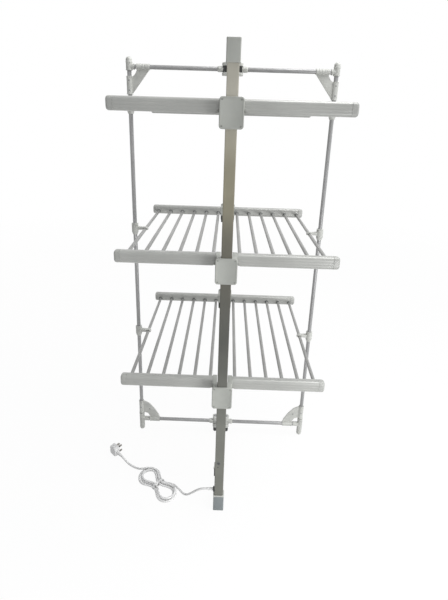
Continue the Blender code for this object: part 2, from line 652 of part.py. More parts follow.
# ---------------------------------------------------------------- switch, gland and plug
def rocker_mesh():
    """The switch's rocker, dished on the outside, tilted as it stands when off."""
    outline = [(-ROCKER_PROUD, ROCKER_HALF), (-ROCKER_DISH, 0.0), (-ROCKER_PROUD, -ROCKER_HALF),
               (ROCKER_BACK, -ROCKER_TAPER * ROCKER_HALF), (ROCKER_BACK, ROCKER_TAPER * ROCKER_HALF)]
    bm = prism(outline, "y", -ROCKER_HALF_WIDTH, ROCKER_HALF_WIDTH)
    mesh = plain(bm)
    mesh.transform(Matrix.Translation(rocker_pivot())
                   @ Matrix.Rotation(math.radians(-ROCKER_TILT), 4, "Y"))
    return mesh


def rocker_pivot():
    """The middle of the rocker's axis, on the front post's left wall."""
    return Vector((-ROCKER_PIVOT, -POST_LINE, SWITCH_HEIGHT))


def gland_profile():
    """Distances outwards from the front post's middle, and radii: nut, neck, flange and sleeve."""
    wall = POST_WIDTH / 2
    inside = wall - POST_WALL - GAP
    flange = wall + GAP + GLAND_FLANGE_THICK
    nut = inside - GLAND_NUT_LENGTH
    return ((nut, 0.0), (nut, GLAND_NUT), (inside, GLAND_NUT), (inside, GLAND_NECK),
            (wall + GAP, GLAND_NECK), (wall + GAP, GLAND_FLANGE), (flange - GLAND_BEVEL, GLAND_FLANGE),
            (flange, GLAND_FLANGE - 2 * GLAND_BEVEL), (flange, GLAND_NECK),
            (flange + RELIEF_LENGTH, RELIEF_TIP), (flange + RELIEF_LENGTH, 0.0))


def cord_exit():
    """Where the lead leaves the gland's sleeve."""
    return Vector((-gland_profile()[-1][0], -POST_LINE, GLAND_HEIGHT))


def gland_mesh():
    """The gland in the front post's left wall, with its tapered sleeve."""
    profile = [(-x, r) for x, r in gland_profile()]
    return plain(turned("x", profile, (-POST_LINE, GLAND_HEIGHT), ROD_SIDES))


def plug_mesh():
    """A three-pin mains plug lying on its edge; X runs to the lead, Y along the pins."""
    body = prism(rounded(PLUG_LENGTH, PLUG_WIDTH, PLUG_CORNER, 3), "y", -PLUG_THICK / 2, PLUG_THICK / 2)
    end = PLUG_LENGTH / 2
    boss = turned("x", ((end - 2 * OVERLAP, PLUG_BOSS_RADIUS), (end + PLUG_BOSS, PLUG_BOSS_TIP)),
                  (0, 0), ROD_SIDES)
    face = PLUG_THICK / 2
    thick, wide = PIN_THICK / 2, PIN_WIDTH / 2
    pins = [box((PIN_LINE - thick, PIN_LINE + thick), (face - OVERLAP, face + PIN_LENGTH),
                (side * PIN_SPREAD - wide, side * PIN_SPREAD + wide)) for side in (-1, 1)]
    earth = PIN_LINE - EARTH_OFFSET
    pins.append(box((earth - EARTH_WIDTH / 2, earth + EARTH_WIDTH / 2), (face - OVERLAP, face + EARTH_LENGTH),
                    (-thick, thick)))
    mesh = shaped(body, joins=(boss, together(*pins)))
    turn = Matrix.Rotation(math.radians(PLUG_TURN + 180), 4, "Z")
    middle = PLUG_EXIT - turn @ Vector((PLUG_LENGTH / 2 + PLUG_BOSS + GAP, 0, 0))
    mesh.transform(Matrix.Translation(middle) @ turn)
    return mesh


# ---------------------------------------------------------------- mains lead
def hank_point(turn):
    """The hank's centre line: a turn is once round; runs are drawn in at the waist.

    The turns step inwards along the floor and outwards again in the layer above, at one rate.
    """
    out = abs(HANK_TURNS_DOWN - turn)
    fold_x = HANK_FOLD + out * HANK_STEP
    fold_y = HANK_FOLD + out * HANK_WAIST_STEP
    part = (turn + RUN_SHARE / 2) % 1.0
    half_turn, part = divmod(part, 0.5)
    way = 1 if half_turn == 0 else -1
    if part < RUN_SHARE:
        x = HANK_HALF_RUN * (2 * part / RUN_SHARE - 1)
        swell = (1 - math.cos(math.pi * x / HANK_HALF_RUN)) / 2
        y = -(HANK_WAIST + out * HANK_WAIST_STEP + (HANK_FOLD - HANK_WAIST) * swell)
    else:
        angle = math.pi * (part - RUN_SHARE) / (0.5 - RUN_SHARE)
        x = HANK_HALF_RUN + fold_x * math.sin(angle)
        y = -fold_y * math.cos(angle)
    rise = min(max((turn - HANK_TURNS_DOWN) / HANK_CLIMB + 0.5, 0.0), 1.0)
    z = CORD_RADIUS + GAP + HANK_LAYER * rise * rise * (3 - 2 * rise)
    heading = math.radians(HANK_TURN)
    along = Vector((math.cos(heading), math.sin(heading)))
    across = Vector((-along.y, along.x))
    flat = HANK_MIDDLE + way * (x * along + y * across)
    return Vector((flat.x, flat.y, z))


def hank_ends():
    """The hank's first and last points, and the way the lead runs at each."""
    ends = []
    for turn in (HANK_START, HANK_END):
        way = hank_point(turn + 0.002) - hank_point(turn - 0.002)
        way.z = 0.0
        ends.append((hank_point(turn), way.normalized()))
    return ends


def hank_points():
    """Points along the hank, with a straight diameter at each end."""
    (first, way_in), (last, way_out) = hank_ends()
    count = round((HANK_END - HANK_START) * LOOP_POINTS)
    turns = np.linspace(HANK_START, HANK_END, count + 1).tolist()
    tail = 2 * CORD_RADIUS
    return [first - tail * way_in, *(hank_point(t) for t in turns), last + tail * way_out]


def self_gap(points, radius):
    """The least clear distance between parts of a tube that are not neighbours along it."""
    fine = []
    for a, b in zip(points, points[1:]):
        fine += [a.lerp(b, k / 6) for k in range(6)]
    path = np.array(fine)
    along = np.concatenate(([0.0], np.cumsum(np.linalg.norm(np.diff(path, axis=0), axis=1))))
    apart = np.linalg.norm(path[:, None] - path[None], axis=2)
    apart[np.abs(along[:, None] - along[None]) < 8 * radius] = 1.0
    return float(apart.min()) - 2 * radius


def smooth_route(points, step):
    """Even steps along a Catmull-Rom curve through the route, whose first and last runs stay straight."""
    points = [Vector(p) for p in points]
    fine = []
    for a, b, c, d in zip(points, points[1:], points[2:], points[3:]):
        for k in range(16):
            t = k / 16
            fine.append(0.5 * (2 * b + (c - a) * t + (2 * a - 5 * b + 4 * c - d) * t * t
                               + (3 * b - a - 3 * c + d) * t ** 3))
    fine.append(points[-2])
    path = np.array(fine)
    along = np.concatenate(([0.0], np.cumsum(np.linalg.norm(np.diff(path, axis=0), axis=1))))
    stops = np.linspace(0.0, along[-1], max(2, round(along[-1] / step)) + 1).tolist()
    between = [Vector([float(np.interp(s, along, path[:, i])) for i in range(3)]) for s in stops]
    return [points[0], *between, points[-1]]


def lead_route():
    """From the gland down to the floor and in to the hank."""
    start = cord_exit() - Vector((GAP, 0, 0))
    (meet, way), _ = hank_ends()
    end = meet - (2 * CORD_RADIUS + GAP) * way
    floor = CORD_RADIUS + GAP
    out = start - Vector((2 * CORD_RADIUS, 0, 0))
    return [start, out, (-0.0640, -0.3630, 0.0765), (-0.0785, -0.3580, 0.0630),
            (-0.0920, -0.3510, 0.0455), (-0.1045, -0.3415, 0.0275), (-0.1170, -0.3300, 0.0125),
            (-0.1290, -0.3170, floor + 0.0008), end - 0.014 * way, end - 2 * CORD_RADIUS * way, end]


def tail_route():
    """From the hank, over its outer turn, along the floor and up into the plug."""
    _, (leave, way) = hank_ends()
    start = leave + (2 * CORD_RADIUS + GAP) * way
    floor = CORD_RADIUS + GAP
    run_in = Vector((math.cos(math.radians(PLUG_TURN)), math.sin(math.radians(PLUG_TURN)), 0))
    return [start, start + 2 * CORD_RADIUS * way, (-0.288, -0.2245, 0.0098), (-0.304, -0.2215, 0.0060),
            (-0.321, -0.2150, floor + 0.0004), (-0.338, -0.2060, floor + 0.0002), (-0.352, -0.1975, 0.0062),
            (-0.364, -0.1900, 0.0120), PLUG_EXIT - 0.0125 * run_in - Vector((0, 0, 0.0008)),
            PLUG_EXIT - 2 * CORD_RADIUS * run_in, PLUG_EXIT]


def tube_mesh(points, resolution):
    """A round tube along points, from a curve with a bevel."""
    curve = bpy.data.curves.new("run", "CURVE")
    curve.dimensions = "3D"
    curve.bevel_depth = CORD_RADIUS
    curve.bevel_resolution = resolution
    curve.use_fill_caps = True
    spline = curve.splines.new("POLY")
    spline.points.add(len(points) - 1)
    for point, place_at in zip(spline.points, points):
        point.co = (*place_at, 1.0)
    obj = bpy.data.objects.new("run", curve)
    bpy.context.collection.objects.link(obj)
    mesh = bpy.data.meshes.new_from_object(obj.evaluated_get(bpy.context.evaluated_depsgraph_get()))
    bpy.data.objects.remove(obj)
    bm = bmesh.new()
    bm.from_mesh(mesh)
    bmesh.ops.remove_doubles(bm, verts=bm.verts, dist=0.00001)
    finish(bm).to_mesh(mesh)
    return mesh


def path_length(points):
    """Length of a run of points."""
    return sum((b - a).length for a, b in zip(points, points[1:]))


# ---------------------------------------------------------------- assembly
def build_frame(palette):
    """Everything that stands still: posts, caps, feet, beams, hubs, brackets and the gland."""
    cap_low = AIRER_HEIGHT - CAP_HEIGHT
    cap_stop = AIRER_HEIGHT - POST_INSET + GAP
    cap = cap_mesh(cap_low, AIRER_HEIGHT, cap_low - CUT_MARGIN, cap_stop)
    foot = cap_mesh(0.0, FOOT_HEIGHT, FOOT_HEIGHT + CUT_MARGIN, POST_INSET - GAP)
    bracket = bracket_mesh()
    for face, y in FACES.items():
        place(f"{face}_post", mirrored(post_mesh(face == "front"), 1, y), "post", palette)
        place(f"{face}_post_cap", mirrored(cap, 1, y), "cap", palette)
        place(f"{face}_foot", mirrored(foot, 1, y), "cap", palette)
        for tier, height in TIER_HEIGHTS.items():
            place(f"{face}_bracket_{tier}", mirrored(bracket, 1, y), "cap", palette, lift=height)
    place("beam_low", beam_mesh(RAIL_LOW), "post", palette)
    place("beam_high", beam_mesh(RAIL_HIGH), "post", palette)
    place("hub_low", hub_mesh(RAIL_LOW, HUB_PLATE_LOW, True), "fitting", palette)
    place("hub_high", hub_mesh(RAIL_HIGH, HUB_PLATE_HIGH, False), "fitting", palette)
    place("switch_rocker", rocker_mesh(), "black", palette, rocker_pivot())
    place("cord_gland", gland_mesh(), "black", palette)


def build_side(side, palette):
    """One side frame and the three wings of that side."""
    x = SIDES[side]
    hinge = (x * HUB_PIN_REACH, 0, 0)
    pieces = {
        "upright": (upright_mesh(), "tube"),
        "rail_low": (rail_mesh(RAIL_LOW), "tube"),
        "rail_high": (rail_mesh(RAIL_HIGH), "tube"),
        "tee_low": (low_tee_mesh(), "fitting"),
        "tee_high": (high_tee_mesh(), "fitting"),
        "gusset_low": (low_gusset_mesh(), "fitting"),
        "gusset_high": (high_gusset_mesh(), "fitting"),
    }
    for name, (mesh, finish_name) in pieces.items():
        place(f"{side}_{name}", mirrored(mesh, x), finish_name, palette, hinge)
    hook, header, grille = hook_mesh(), header_mesh(), grille_mesh()
    pin = (x * WING_PIN_X, 0, WING_PIN_Z)
    for tier, height in TIER_HEIGHTS.items():
        place(f"{side}_hook_{tier}", mirrored(hook, x), "fitting", palette, hinge, height)
        for face, y in FACES.items():
            place(f"{side}_{face}_header_{tier}", mirrored(header, x, y), "header", palette, pin, height)
        place(f"{side}_rods_{tier}", mirrored(grille, x), "rod", palette, pin, height)


def build_lead(palette):
    """The mains lead in three stretches, and its plug."""
    lead = smooth_route(lead_route(), CORD_STEP)
    tail = smooth_route(tail_route(), CORD_STEP)
    hank = hank_points()
    place("cord_lead", tube_mesh(lead, 2), "cord", palette)
    place("cord_hank", tube_mesh(hank, 1), "cord", palette)
    place("cord_tail", tube_mesh(tail, 2), "cord", palette)
    place("plug", plug_mesh(), "cord", palette)
    print(f"hank: least gap to itself {1000 * self_gap(hank, CORD_RADIUS):.2f} mm")
    total = sum(path_length(run) for run in (lead, hank, tail))
    print(f"lead length {total:.3f} m, of which the hank holds {path_length(hank):.3f} m")


def main():
    for obj in list(bpy.data.objects):
        bpy.data.objects.remove(obj)
    palette = materials()
    build_frame(palette)
    for side in SIDES:
        build_side(side, palette)
    build_lead(palette)


main()
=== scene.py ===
# %% [markdown]
# # A heated clothes airer with three tiers
# The imported CAD model is the fixed frame: every piece made below sits where the CAD says and rides on one
# of its bodies. The frame is loaded first.

# %% The fixed frame
import math

import bmesh
import bpy
import numpy as np
from mathutils import Matrix


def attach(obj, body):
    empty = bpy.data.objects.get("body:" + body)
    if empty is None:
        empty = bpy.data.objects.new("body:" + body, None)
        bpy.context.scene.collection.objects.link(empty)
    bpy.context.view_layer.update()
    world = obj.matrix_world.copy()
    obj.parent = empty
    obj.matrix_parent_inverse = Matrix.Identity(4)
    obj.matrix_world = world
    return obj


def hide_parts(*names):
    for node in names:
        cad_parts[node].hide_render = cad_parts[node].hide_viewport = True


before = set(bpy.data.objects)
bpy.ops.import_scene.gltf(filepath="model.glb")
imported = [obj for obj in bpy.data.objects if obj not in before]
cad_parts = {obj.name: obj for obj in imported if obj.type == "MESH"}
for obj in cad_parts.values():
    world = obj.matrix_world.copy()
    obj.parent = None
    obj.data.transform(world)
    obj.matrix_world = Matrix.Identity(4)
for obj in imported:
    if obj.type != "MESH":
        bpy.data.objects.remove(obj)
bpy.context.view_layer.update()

# %% [markdown]
# ## The camera
# The photograph was measured at 23 places on the airer, and a pinhole camera was fitted to them: its
# focal length in pixels, the point its middle line passes through, where it stands and how it is turned.
# The picture is 448 by 600, and the sensor width belongs to the long side. The airer seems to lean because
# the camera was rolled by 1.7 degrees, so the roll is kept.

# %% Camera
PICTURE = (448, 600)
FOCAL = 408.2
LINE_OF_SIGHT = (221.1, 249.3)
EYE = (-0.0039, -1.4337, 1.2804)
YAW, PITCH, ROLL = -0.01133, 0.31171, 0.02958
SENSOR = 36.0

forward = np.array([math.sin(YAW) * math.cos(PITCH), math.cos(YAW) * math.cos(PITCH), -math.sin(PITCH)])
level = np.array([math.cos(YAW), -math.sin(YAW), 0.0])
rise = np.cross(level, forward)
right = math.cos(ROLL) * level + math.sin(ROLL) * rise
up = -math.sin(ROLL) * level + math.cos(ROLL) * rise

lens = bpy.data.cameras.new("photograph")
lens.sensor_width = SENSOR
lens.lens = FOCAL * SENSOR / max(PICTURE)
lens.shift_x = (PICTURE[0] / 2 - LINE_OF_SIGHT[0]) / max(PICTURE)
lens.shift_y = (LINE_OF_SIGHT[1] - PICTURE[1] / 2) / max(PICTURE)
lens.clip_end = 50.0
camera = bpy.data.objects.new("camera", lens)
placed = np.eye(4)
placed[:3, :3] = np.stack((right, up, -forward), 1)
placed[:3, 3] = EYE
camera.matrix_world = Matrix(placed.tolist())
bpy.context.scene.collection.objects.link(camera)
bpy.context.scene.camera = camera
print("lens", round(lens.lens, 2), "mm")

# %% [markdown]
# ## Surfaces from numbers
# A skin is a grid of points: rows are rings across the piece, and quads join each ring to the next. A
# hoop closes the other way as well, like a ring round a bore. Everything is worked out as whole arrays,
# and the mesh is filled in one go, so even long tubes are made at once.

# %% Skins and hoops
def quads(rows, points, closed=False):
    """Faces between each row of a grid and the next, and from the last to the first if closed."""
    i, j = np.meshgrid(np.arange(rows if closed else rows - 1), np.arange(points), indexing="ij")
    here, there = i * points, (i + 1) % rows * points
    beside = (j + 1) % points
    return np.stack((here + j, here + beside, there + beside, there + j), -1).reshape(-1, 4).tolist()


def skin(rings):
    """A closed shell: rings (n, m, 3) joined by quads, with one face over each end."""
    rows, points = rings.shape[:2]
    first = np.arange(points)
    last = first + (rows - 1) * points
    return rings.reshape(-1, 3), [*quads(rows, points), first[::-1].tolist(), last.tolist()]


def hoop(rings):
    """A shell that closes on itself both ways."""
    return rings.reshape(-1, 3), quads(*rings.shape[:2], closed=True)


def across(axis, along, u, v):
    """Points from a distance along an axis and two across it, in X, Y, Z order."""
    along = np.broadcast_to(along, np.shape(u))
    return np.stack({"x": (along, u, v), "y": (u, along, v), "z": (u, v, along)}[axis], -1)


# %% [markdown]
# Moulded and rolled pieces never have a knife edge. The rim of each plate and bar is a quarter circle:
# along = ease (1 - cos t) and inset = ease (1 - sin t), while t goes from 0 to a right angle.

# %% Rims, turned pieces and plates
def rim(low, high, ease, steps=3):
    """(along, inset) pairs from one end of a bar to the other, with a quarter circle at both rims."""
    turn = np.linspace(0, math.pi / 2, steps + 1)
    inset_by = ease * (1 - np.sin(turn))
    rise_by = ease * (1 - np.cos(turn))
    start = np.stack((low + rise_by, inset_by), -1)
    end = np.stack((high - rise_by, inset_by), -1)[::-1]
    return np.concatenate((start, end))


def turned(axis, profile, middle=(0, 0), sides=36, bored=False):
    """A solid of revolution: (along, radius) pairs carried round an axis. A bored one is a closed profile."""
    along, radius = np.array(profile, float).T[:, :, None]
    turn = np.arange(sides) * 2 * math.pi / sides
    rings = across(axis, along, middle[0] + radius * np.cos(turn), middle[1] + radius * np.sin(turn))
    return hoop(rings) if bored else skin(rings)


def round_bar(axis, low, high, radius, middle=(0, 0), ease=0.0006, sides=36):
    """A round bar with eased rims."""
    along, inset_by = rim(low, high, ease).T
    return turned(axis, np.stack((along, radius - inset_by), -1), middle, sides)


def rounded(width, height, radius, middle=(0, 0), steps=5):
    """Outline of a rectangle whose corners are quarter circles."""
    turn = np.radians(np.arange(4)[:, None] * 90 + np.linspace(0, 90, steps + 1))
    sign = np.array([(1, 1), (-1, 1), (-1, -1), (1, -1)])
    centre = np.array(middle) + sign * (np.array((width, height)) / 2 - radius)
    return (centre[:, None] + radius * np.stack((np.cos(turn), np.sin(turn)), -1)).reshape(-1, 2)


def soften(corners, radius, steps=5):
    """An outline with curved corners: a parabola from `radius` before each corner to `radius` after it."""
    corners = np.array(corners, float)
    t = np.linspace(0, 1, steps + 1)[None, :, None]
    ends = []
    for step in (1, -1):
        way = np.roll(corners, step, 0) - corners
        length = np.linalg.norm(way, axis=1, keepdims=True)
        ends.append((corners + way / length * np.minimum(radius, 0.45 * length))[:, None])
    curve = (1 - t) ** 2 * ends[0] + 2 * t * (1 - t) * corners[:, None] + t ** 2 * ends[1]
    return curve.reshape(-1, 2)


def inset(outline, distance):
    """An outline moved inwards: each point along the bisector of its edges, by distance / (1 + cos)."""
    edge = np.roll(outline, -1, 0) - outline
    area = (outline[:, 0] * np.roll(outline[:, 1], -1) - outline[:, 1] * np.roll(outline[:, 0], -1)).sum()
    normal = np.stack((edge[:, 1], -edge[:, 0]), -1) / np.linalg.norm(edge, axis=1, keepdims=True)
    normal *= np.sign(area)
    before = np.roll(normal, 1, 0)
    return outline - distance * (normal + before) / (1 + (normal * before).sum(1, keepdims=True))


def plate(axis, outline, low, high, ease=0.0008, dish=()):
    """An outline carried along an axis with eased rims; dish adds (along, inset) rings after the last."""
    steps = [*rim(low, high, ease), *dish]
    rings = [across(axis, along, *inset(outline, in_by).T) for along, in_by in steps]
    return skin(np.stack(rings))


def brick(x, y, z, ease=0.0008):
    """A block between three pairs of limits, with round upright corners and eased rims."""
    outline = rounded(x[1] - x[0], y[1] - y[0], max(ease, 0.0008), (sum(x) / 2, sum(y) / 2), 3)
    return plate("z", outline, *z, ease)


# %% [markdown]
# Every piece is drawn once, at the right and the rear, and the others are its mirror images. A mirror
# turns a skin inside out, so each finished piece has its doubles merged and its normals worked out again.

# %% Mirror images and finished pieces
def mirrored(shells, x=1, y=1, up=0.0):
    """Copies of shells with X or Y turned round, lifted by `up`."""
    return [(points * (x, y, 1) + (0, 0, up), faces) for points, faces in shells]


DOUBLE = 0.000001      # points closer than this are one


def piece(name, shells, material, body, replaced=(), crease=38):
    """One object from closed shells, with outward faces, on its CAD body."""
    starts = np.cumsum([0] + [len(points) for points, _ in shells])
    faces = [[start + k for k in face]
             for start, (_, shell) in zip(starts.tolist(), shells) for face in shell]
    mesh = bpy.data.meshes.new(name)
    mesh.from_pydata(np.concatenate([points for points, _ in shells]).tolist(), [], faces)
    bm = bmesh.new()
    bm.from_mesh(mesh)
    bmesh.ops.remove_doubles(bm, verts=bm.verts, dist=DOUBLE)
    bmesh.ops.recalc_face_normals(bm, faces=bm.faces)
    bm.to_mesh(mesh)
    bm.free()
    mesh.shade_smooth()
    mesh.set_sharp_from_angle(angle=math.radians(crease))
    mesh.materials.append(material)
    made = bpy.data.objects.new(name, mesh)
    bpy.context.scene.collection.objects.link(made)
    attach(made, body)
    if replaced:
        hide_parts(*replaced)
    return made


# %% [markdown]
# ## Finishes
# Colours are written as sRGB hex, as one reads them off a picture, and turned to linear light by one
# function. Each finish starts from what it is: drawn aluminium keeps lines along its length, a moulded
# plastic keeps the fine spark texture of its tool, and powder paint keeps a soft orange peel. The noise
# scales come from those real sizes; grain below about 0.5 mm is drawn at that size so that it shows.

# %% Colour, nodes and finishes
def linear(code):
    """sRGB hex to linear: c / 12.92 up to 0.04045, and ((c + 0.055) / 1.055) ^ 2.4 above."""
    c = np.array([int(code[i:i + 2], 16) for i in (1, 3, 5)]) / 255
    return (*np.where(c <= 0.04045, c / 12.92, ((c + 0.055) / 1.055) ** 2.4).tolist(), 1.0)


def node(tree, kind, inputs, **settings):
    """Add a node; an input is linked if it is given a socket, and set otherwise."""
    made = tree.nodes.new(kind)
    for key, value in settings.items():
        setattr(made, key, value)
    for key, value in inputs.items():
        if isinstance(value, bpy.types.NodeSocket):
            tree.links.new(value, made.inputs[key])
        else:
            made.inputs[key].default_value = value
    return made


MIX_FACTOR, MIX_A, MIX_B, MIX_RESULT = 0, 6, 7, 2      # a colour Mix node's sockets
COAT_ROUGHNESS = 0.22
DRIFT_BAND, GRAIN_BAND = (0.35, 0.65), (0.3, 0.7)      # where most of a noise's values lie


def finish(name, dark, light, roughness, metallic=0.0, grain=(0.6, 0.6, 0.6), depth=0.03, patch=30,
           spread=0.05, tall=None, coat=0.0):
    """A finish that drifts between two colours, with a bumped grain. Sizes are in millimetres.

    grain is the grain's size along X, Y and Z, depth its height and patch the size of the colour's drift;
    the defaults are the fine pebble of moulded plastic, drawn as coarse as it needs to show.
    tall is a list of (height in metres, colour): the drift is multiplied by the colour at each height, which
    paints light and shade by height.
    """
    made = bpy.data.materials.new(name)
    made.use_nodes = True
    tree = made.node_tree
    shader = tree.nodes["Principled BSDF"]
    shader.inputs["Metallic"].default_value = metallic
    shader.inputs["Coat Weight"].default_value = coat
    shader.inputs["Coat Roughness"].default_value = COAT_ROUGHNESS
    place = node(tree, "ShaderNodeTexCoord", {}).outputs["Object"]
    drift = node(tree, "ShaderNodeTexNoise", {"Vector": place, "Scale": 1000 / patch, "Detail": 3.0})
    swing = node(tree, "ShaderNodeMapRange", {"Value": drift.outputs["Fac"],
                                              "From Min": DRIFT_BAND[0], "From Max": DRIFT_BAND[1]})
    colour = node(tree, "ShaderNodeMix", {MIX_FACTOR: swing.outputs["Result"], MIX_A: linear(dark),
                                         MIX_B: linear(light)}, data_type="RGBA").outputs[MIX_RESULT]
    if tall:
        low, top = tall[0][0], tall[-1][0]
        height = node(tree, "ShaderNodeSeparateXYZ", {"Vector": place}).outputs["Z"]
        share = node(tree, "ShaderNodeMapRange", {"Value": height, "From Min": low, "From Max": top,
                                                  "To Min": low / top})
        tint = node(tree, "ShaderNodeValToRGB", {"Fac": share.outputs["Result"]})
        tint.color_ramp.interpolation = "EASE"
        stops = tint.color_ramp.elements
        for at, code in tall[1:-1]:
            stops.new(at / top).color = linear(code)
        for stop, (at, code) in zip((0, -1), (tall[0], tall[-1])):
            stops[stop].position = at / top
            stops[stop].color = linear(code)
        colour = node(tree, "ShaderNodeMix", {MIX_FACTOR: 1.0, MIX_A: colour, MIX_B: tint.outputs["Color"]},
                      data_type="RGBA", blend_type="MULTIPLY").outputs[MIX_RESULT]
    tree.links.new(colour, shader.inputs["Base Color"])
    stretched = node(tree, "ShaderNodeMapping", {"Vector": place, "Scale": [1000 / size for size in grain]})
    fine = node(tree, "ShaderNodeTexNoise", {"Vector": stretched.outputs["Vector"], "Scale": 1.0,
                                             "Detail": 2.0}).outputs["Fac"]
    rough = node(tree, "ShaderNodeMapRange", {
        "Value": fine, "From Min": GRAIN_BAND[0], "From Max": GRAIN_BAND[1],
        "To Min": roughness - spread, "To Max": roughness + spread})
    tree.links.new(rough.outputs["Result"], shader.inputs["Roughness"])
    bump = node(tree, "ShaderNodeBump", {"Height": fine, "Distance": depth / 1000, "Strength": 1.0})
    tree.links.new(bump.outputs["Normal"], shader.inputs["Normal"])
    return made


# Anodised aluminium: drawn lines up its length under a clear oxide, a dull satin. Over it, light and shade
# are painted by height: warm and light at the top, olive below, darkest at half height and grey again near
# the floor.
POST_PAINTED_LIGHT_BY_HEIGHT = [(0.05, "#81827A"), (0.33, "#7F8079"), (0.66, "#5F605B"), (0.92, "#6B695F"),
              (1.12, "#9A9581"), (1.36, "#BAB7AB")]
post_metal = finish("anodised_aluminium_posts", "#F0F0F0", "#FFFFFF", 0.42, 0.35, (0.7, 0.7, 60), 0.02, 90,
                    tall=POST_PAINTED_LIGHT_BY_HEIGHT)
# Rolled aluminium painted silver: an even satin with the rolling lines just under the paint.
header_paint = finish("silver_paint_on_rolled_aluminium", "#A9AAA6", "#B1B2AE", 0.40, 0.15, (50, 0.8, 0.8),
                      0.02, 120, coat=0.6)
# ABS moulded in a polished tool: the ends of the headers, smoother and a little brighter than the paint.
cap_plastic = finish("smooth_moulded_abs_end_caps", "#AEAFAB", "#B5B6B2", 0.36, depth=0.008, patch=40,
                     coat=0.15)
# Aluminium tube with the draw marks along it, a soft grey mirror.
rod_metal = finish("drawn_aluminium_rods", "#9E9E9C", "#A7A7A5", 0.36, 0.25, (0.7, 40, 0.7), 0.015, 80)
# Steel tube with silver powder paint: orange peel about 2 mm wide.
tube_paint = finish("silver_powder_coat_on_steel_tube", "#9B9B9B", "#A3A3A3", 0.34, 0.2, (2.0, 2.0, 2.0),
                    0.006, 60, coat=0.3)
# Pale grey nylon from a spark-eroded tool: matt, with a fine pebble.
pale_nylon = finish("pale_grey_moulded_nylon", "#C4C5C0", "#CECFCA", 0.5)
# Mid grey ABS of the plates and the posts' caps: matt, with the same pebble.
plate_plastic = finish("grey_moulded_abs_plates", "#ABADA7", "#B2B4AE", 0.48, patch=50)
# Plugs in the plates' screw holes, a shade darker than the plates: the darker grey paints the shade of the
# screw dimples.
plug_plastic_painted_shade = finish("grey_screw_plugs_painted_dimple_shade", "#8B8D88", "#92948F", 0.55, 0.0, (0.5, 0.5, 0.5), 0.02, 8)
# ABS of the feet, which stand on the floor: cooler than the plates, and scuffed dull.
foot_plastic = finish("blue_grey_moulded_abs_feet", "#858B8D", "#8A9192", 0.52, 0.0, (0.8, 0.8, 0.8),
                      0.04, 40)
# Dark grey plastic of the rod collars and the lamp's bezel; on the collars the dark grey also paints the
# shade at each rod's end.
collar_plastic_and_painted_shade = finish("dark_grey_rod_collars_and_painted_shade", "#636564", "#6D6F6E", 0.5, patch=20)
# Black nylon and rubber: the pivots, the switch, the gland and the round feet.
black_plastic = finish("black_moulded_nylon", "#2A2B2A", "#363736", 0.34, patch=12)
# White flexible PVC of the lead: smooth, slightly waxy.
lead_pvc = finish("white_flexible_pvc", "#E9E9E8", "#EEEEED", 0.36, 0.0, (1.2, 1.2, 1.2), 0.01, 40)
# Zinc plated steel of the screws.
screw_zinc = finish("zinc_plated_steel_screws", "#8E8F90", "#A0A1A2", 0.35, 0.8, (0.5, 0.5, 0.5), 0.01, 4)
# Nickel plated brass of the plug's pins.
pin_metal = finish("nickel_plated_brass_pins", "#8E8B86", "#9A9792", 0.28, 0.8, (0.5, 20, 0.5),
                   0.002, 10, 0.02)
# Smoky polycarbonate of the unlit indicator lamp.
lamp_lens = finish("smoky_polycarbonate_lamp", "#3A3D3A", "#454845", 0.15, 0.0, (2, 2, 2),
                   0.002, 5, 0.02, coat=0.5)
print("finishes from", post_metal.name, "to", lamp_lens.name)

# %% [markdown]
# ## Stage
# The photograph's surroundings were cut away to pure white. A white floor in plain light would also light
# the airer from below, which the photograph doesn't show, so the floor and the world are white only to
# the camera and in reflections. To soft light they are a quieter grey, and the world is brightest above
# and to the right, the side that the photograph has lit. The floor keeps a small share of plain paint that
# takes the airer's shadow, and fades to full white further out, so that no horizon shows.

# %% Floor and world
WHITE_SHARE = 0.94                   # of the floor's look to the camera; the rest takes the shadow
SHADOW_REACH = (1.4, 4.5)            # metres from the middle over which the rest fades out
FLOOR_REACH = 14.0                   # metres from the middle to each edge of the floor
BRIGHT_WAY = (0.55, 0.10, 0.83)      # where the soft light comes from
LOW_LIGHT, HIGH_LIGHT, FLOOR_GREY, WHITE = map(linear, ("#565656", "#D6D7D9", "#D6D6D6", "#FFFFFF"))


def studio_tree(owner):
    """An emptied node tree, and two sockets that are 1 for the camera's own rays and 1 for these as well as
    for reflections and rays through glass."""
    owner.use_nodes = True
    tree = owner.node_tree
    tree.nodes.clear()
    path = node(tree, "ShaderNodeLightPath", {})
    seen = path.outputs["Is Camera Ray"]
    for ray in ("Is Glossy Ray", "Is Transmission Ray"):
        seen = node(tree, "ShaderNodeMath", {0: seen, 1: path.outputs[ray]}, operation="MAXIMUM").outputs[0]
    return tree, path.outputs["Is Camera Ray"], seen


floor_finish = bpy.data.materials.new("plain_white_floor")
tree, camera_ray, seen = studio_tree(floor_finish)
spot = node(tree, "ShaderNodeTexCoord", {}).outputs["Object"]
away = node(tree, "ShaderNodeVectorMath", {0: spot}, operation="LENGTH").outputs["Value"]
white = node(tree, "ShaderNodeMapRange", {
    "Value": away, "From Min": SHADOW_REACH[0], "From Max": SHADOW_REACH[1],
    "To Min": WHITE_SHARE, "To Max": 1.0}).outputs["Result"]
share = node(tree, "ShaderNodeMath", {0: seen, 1: white}, operation="MULTIPLY").outputs[0]
paper = node(tree, "ShaderNodeMix", {MIX_FACTOR: camera_ray, MIX_A: FLOOR_GREY, MIX_B: WHITE},
             data_type="RGBA")
matt = node(tree, "ShaderNodeBsdfDiffuse", {"Color": paper.outputs[MIX_RESULT]})
glow = node(tree, "ShaderNodeEmission", {"Color": WHITE, "Strength": 1.0})
both = node(tree, "ShaderNodeMixShader", {0: share, 1: matt.outputs[0], 2: glow.outputs[0]})
node(tree, "ShaderNodeOutputMaterial", {"Surface": both.outputs[0]})

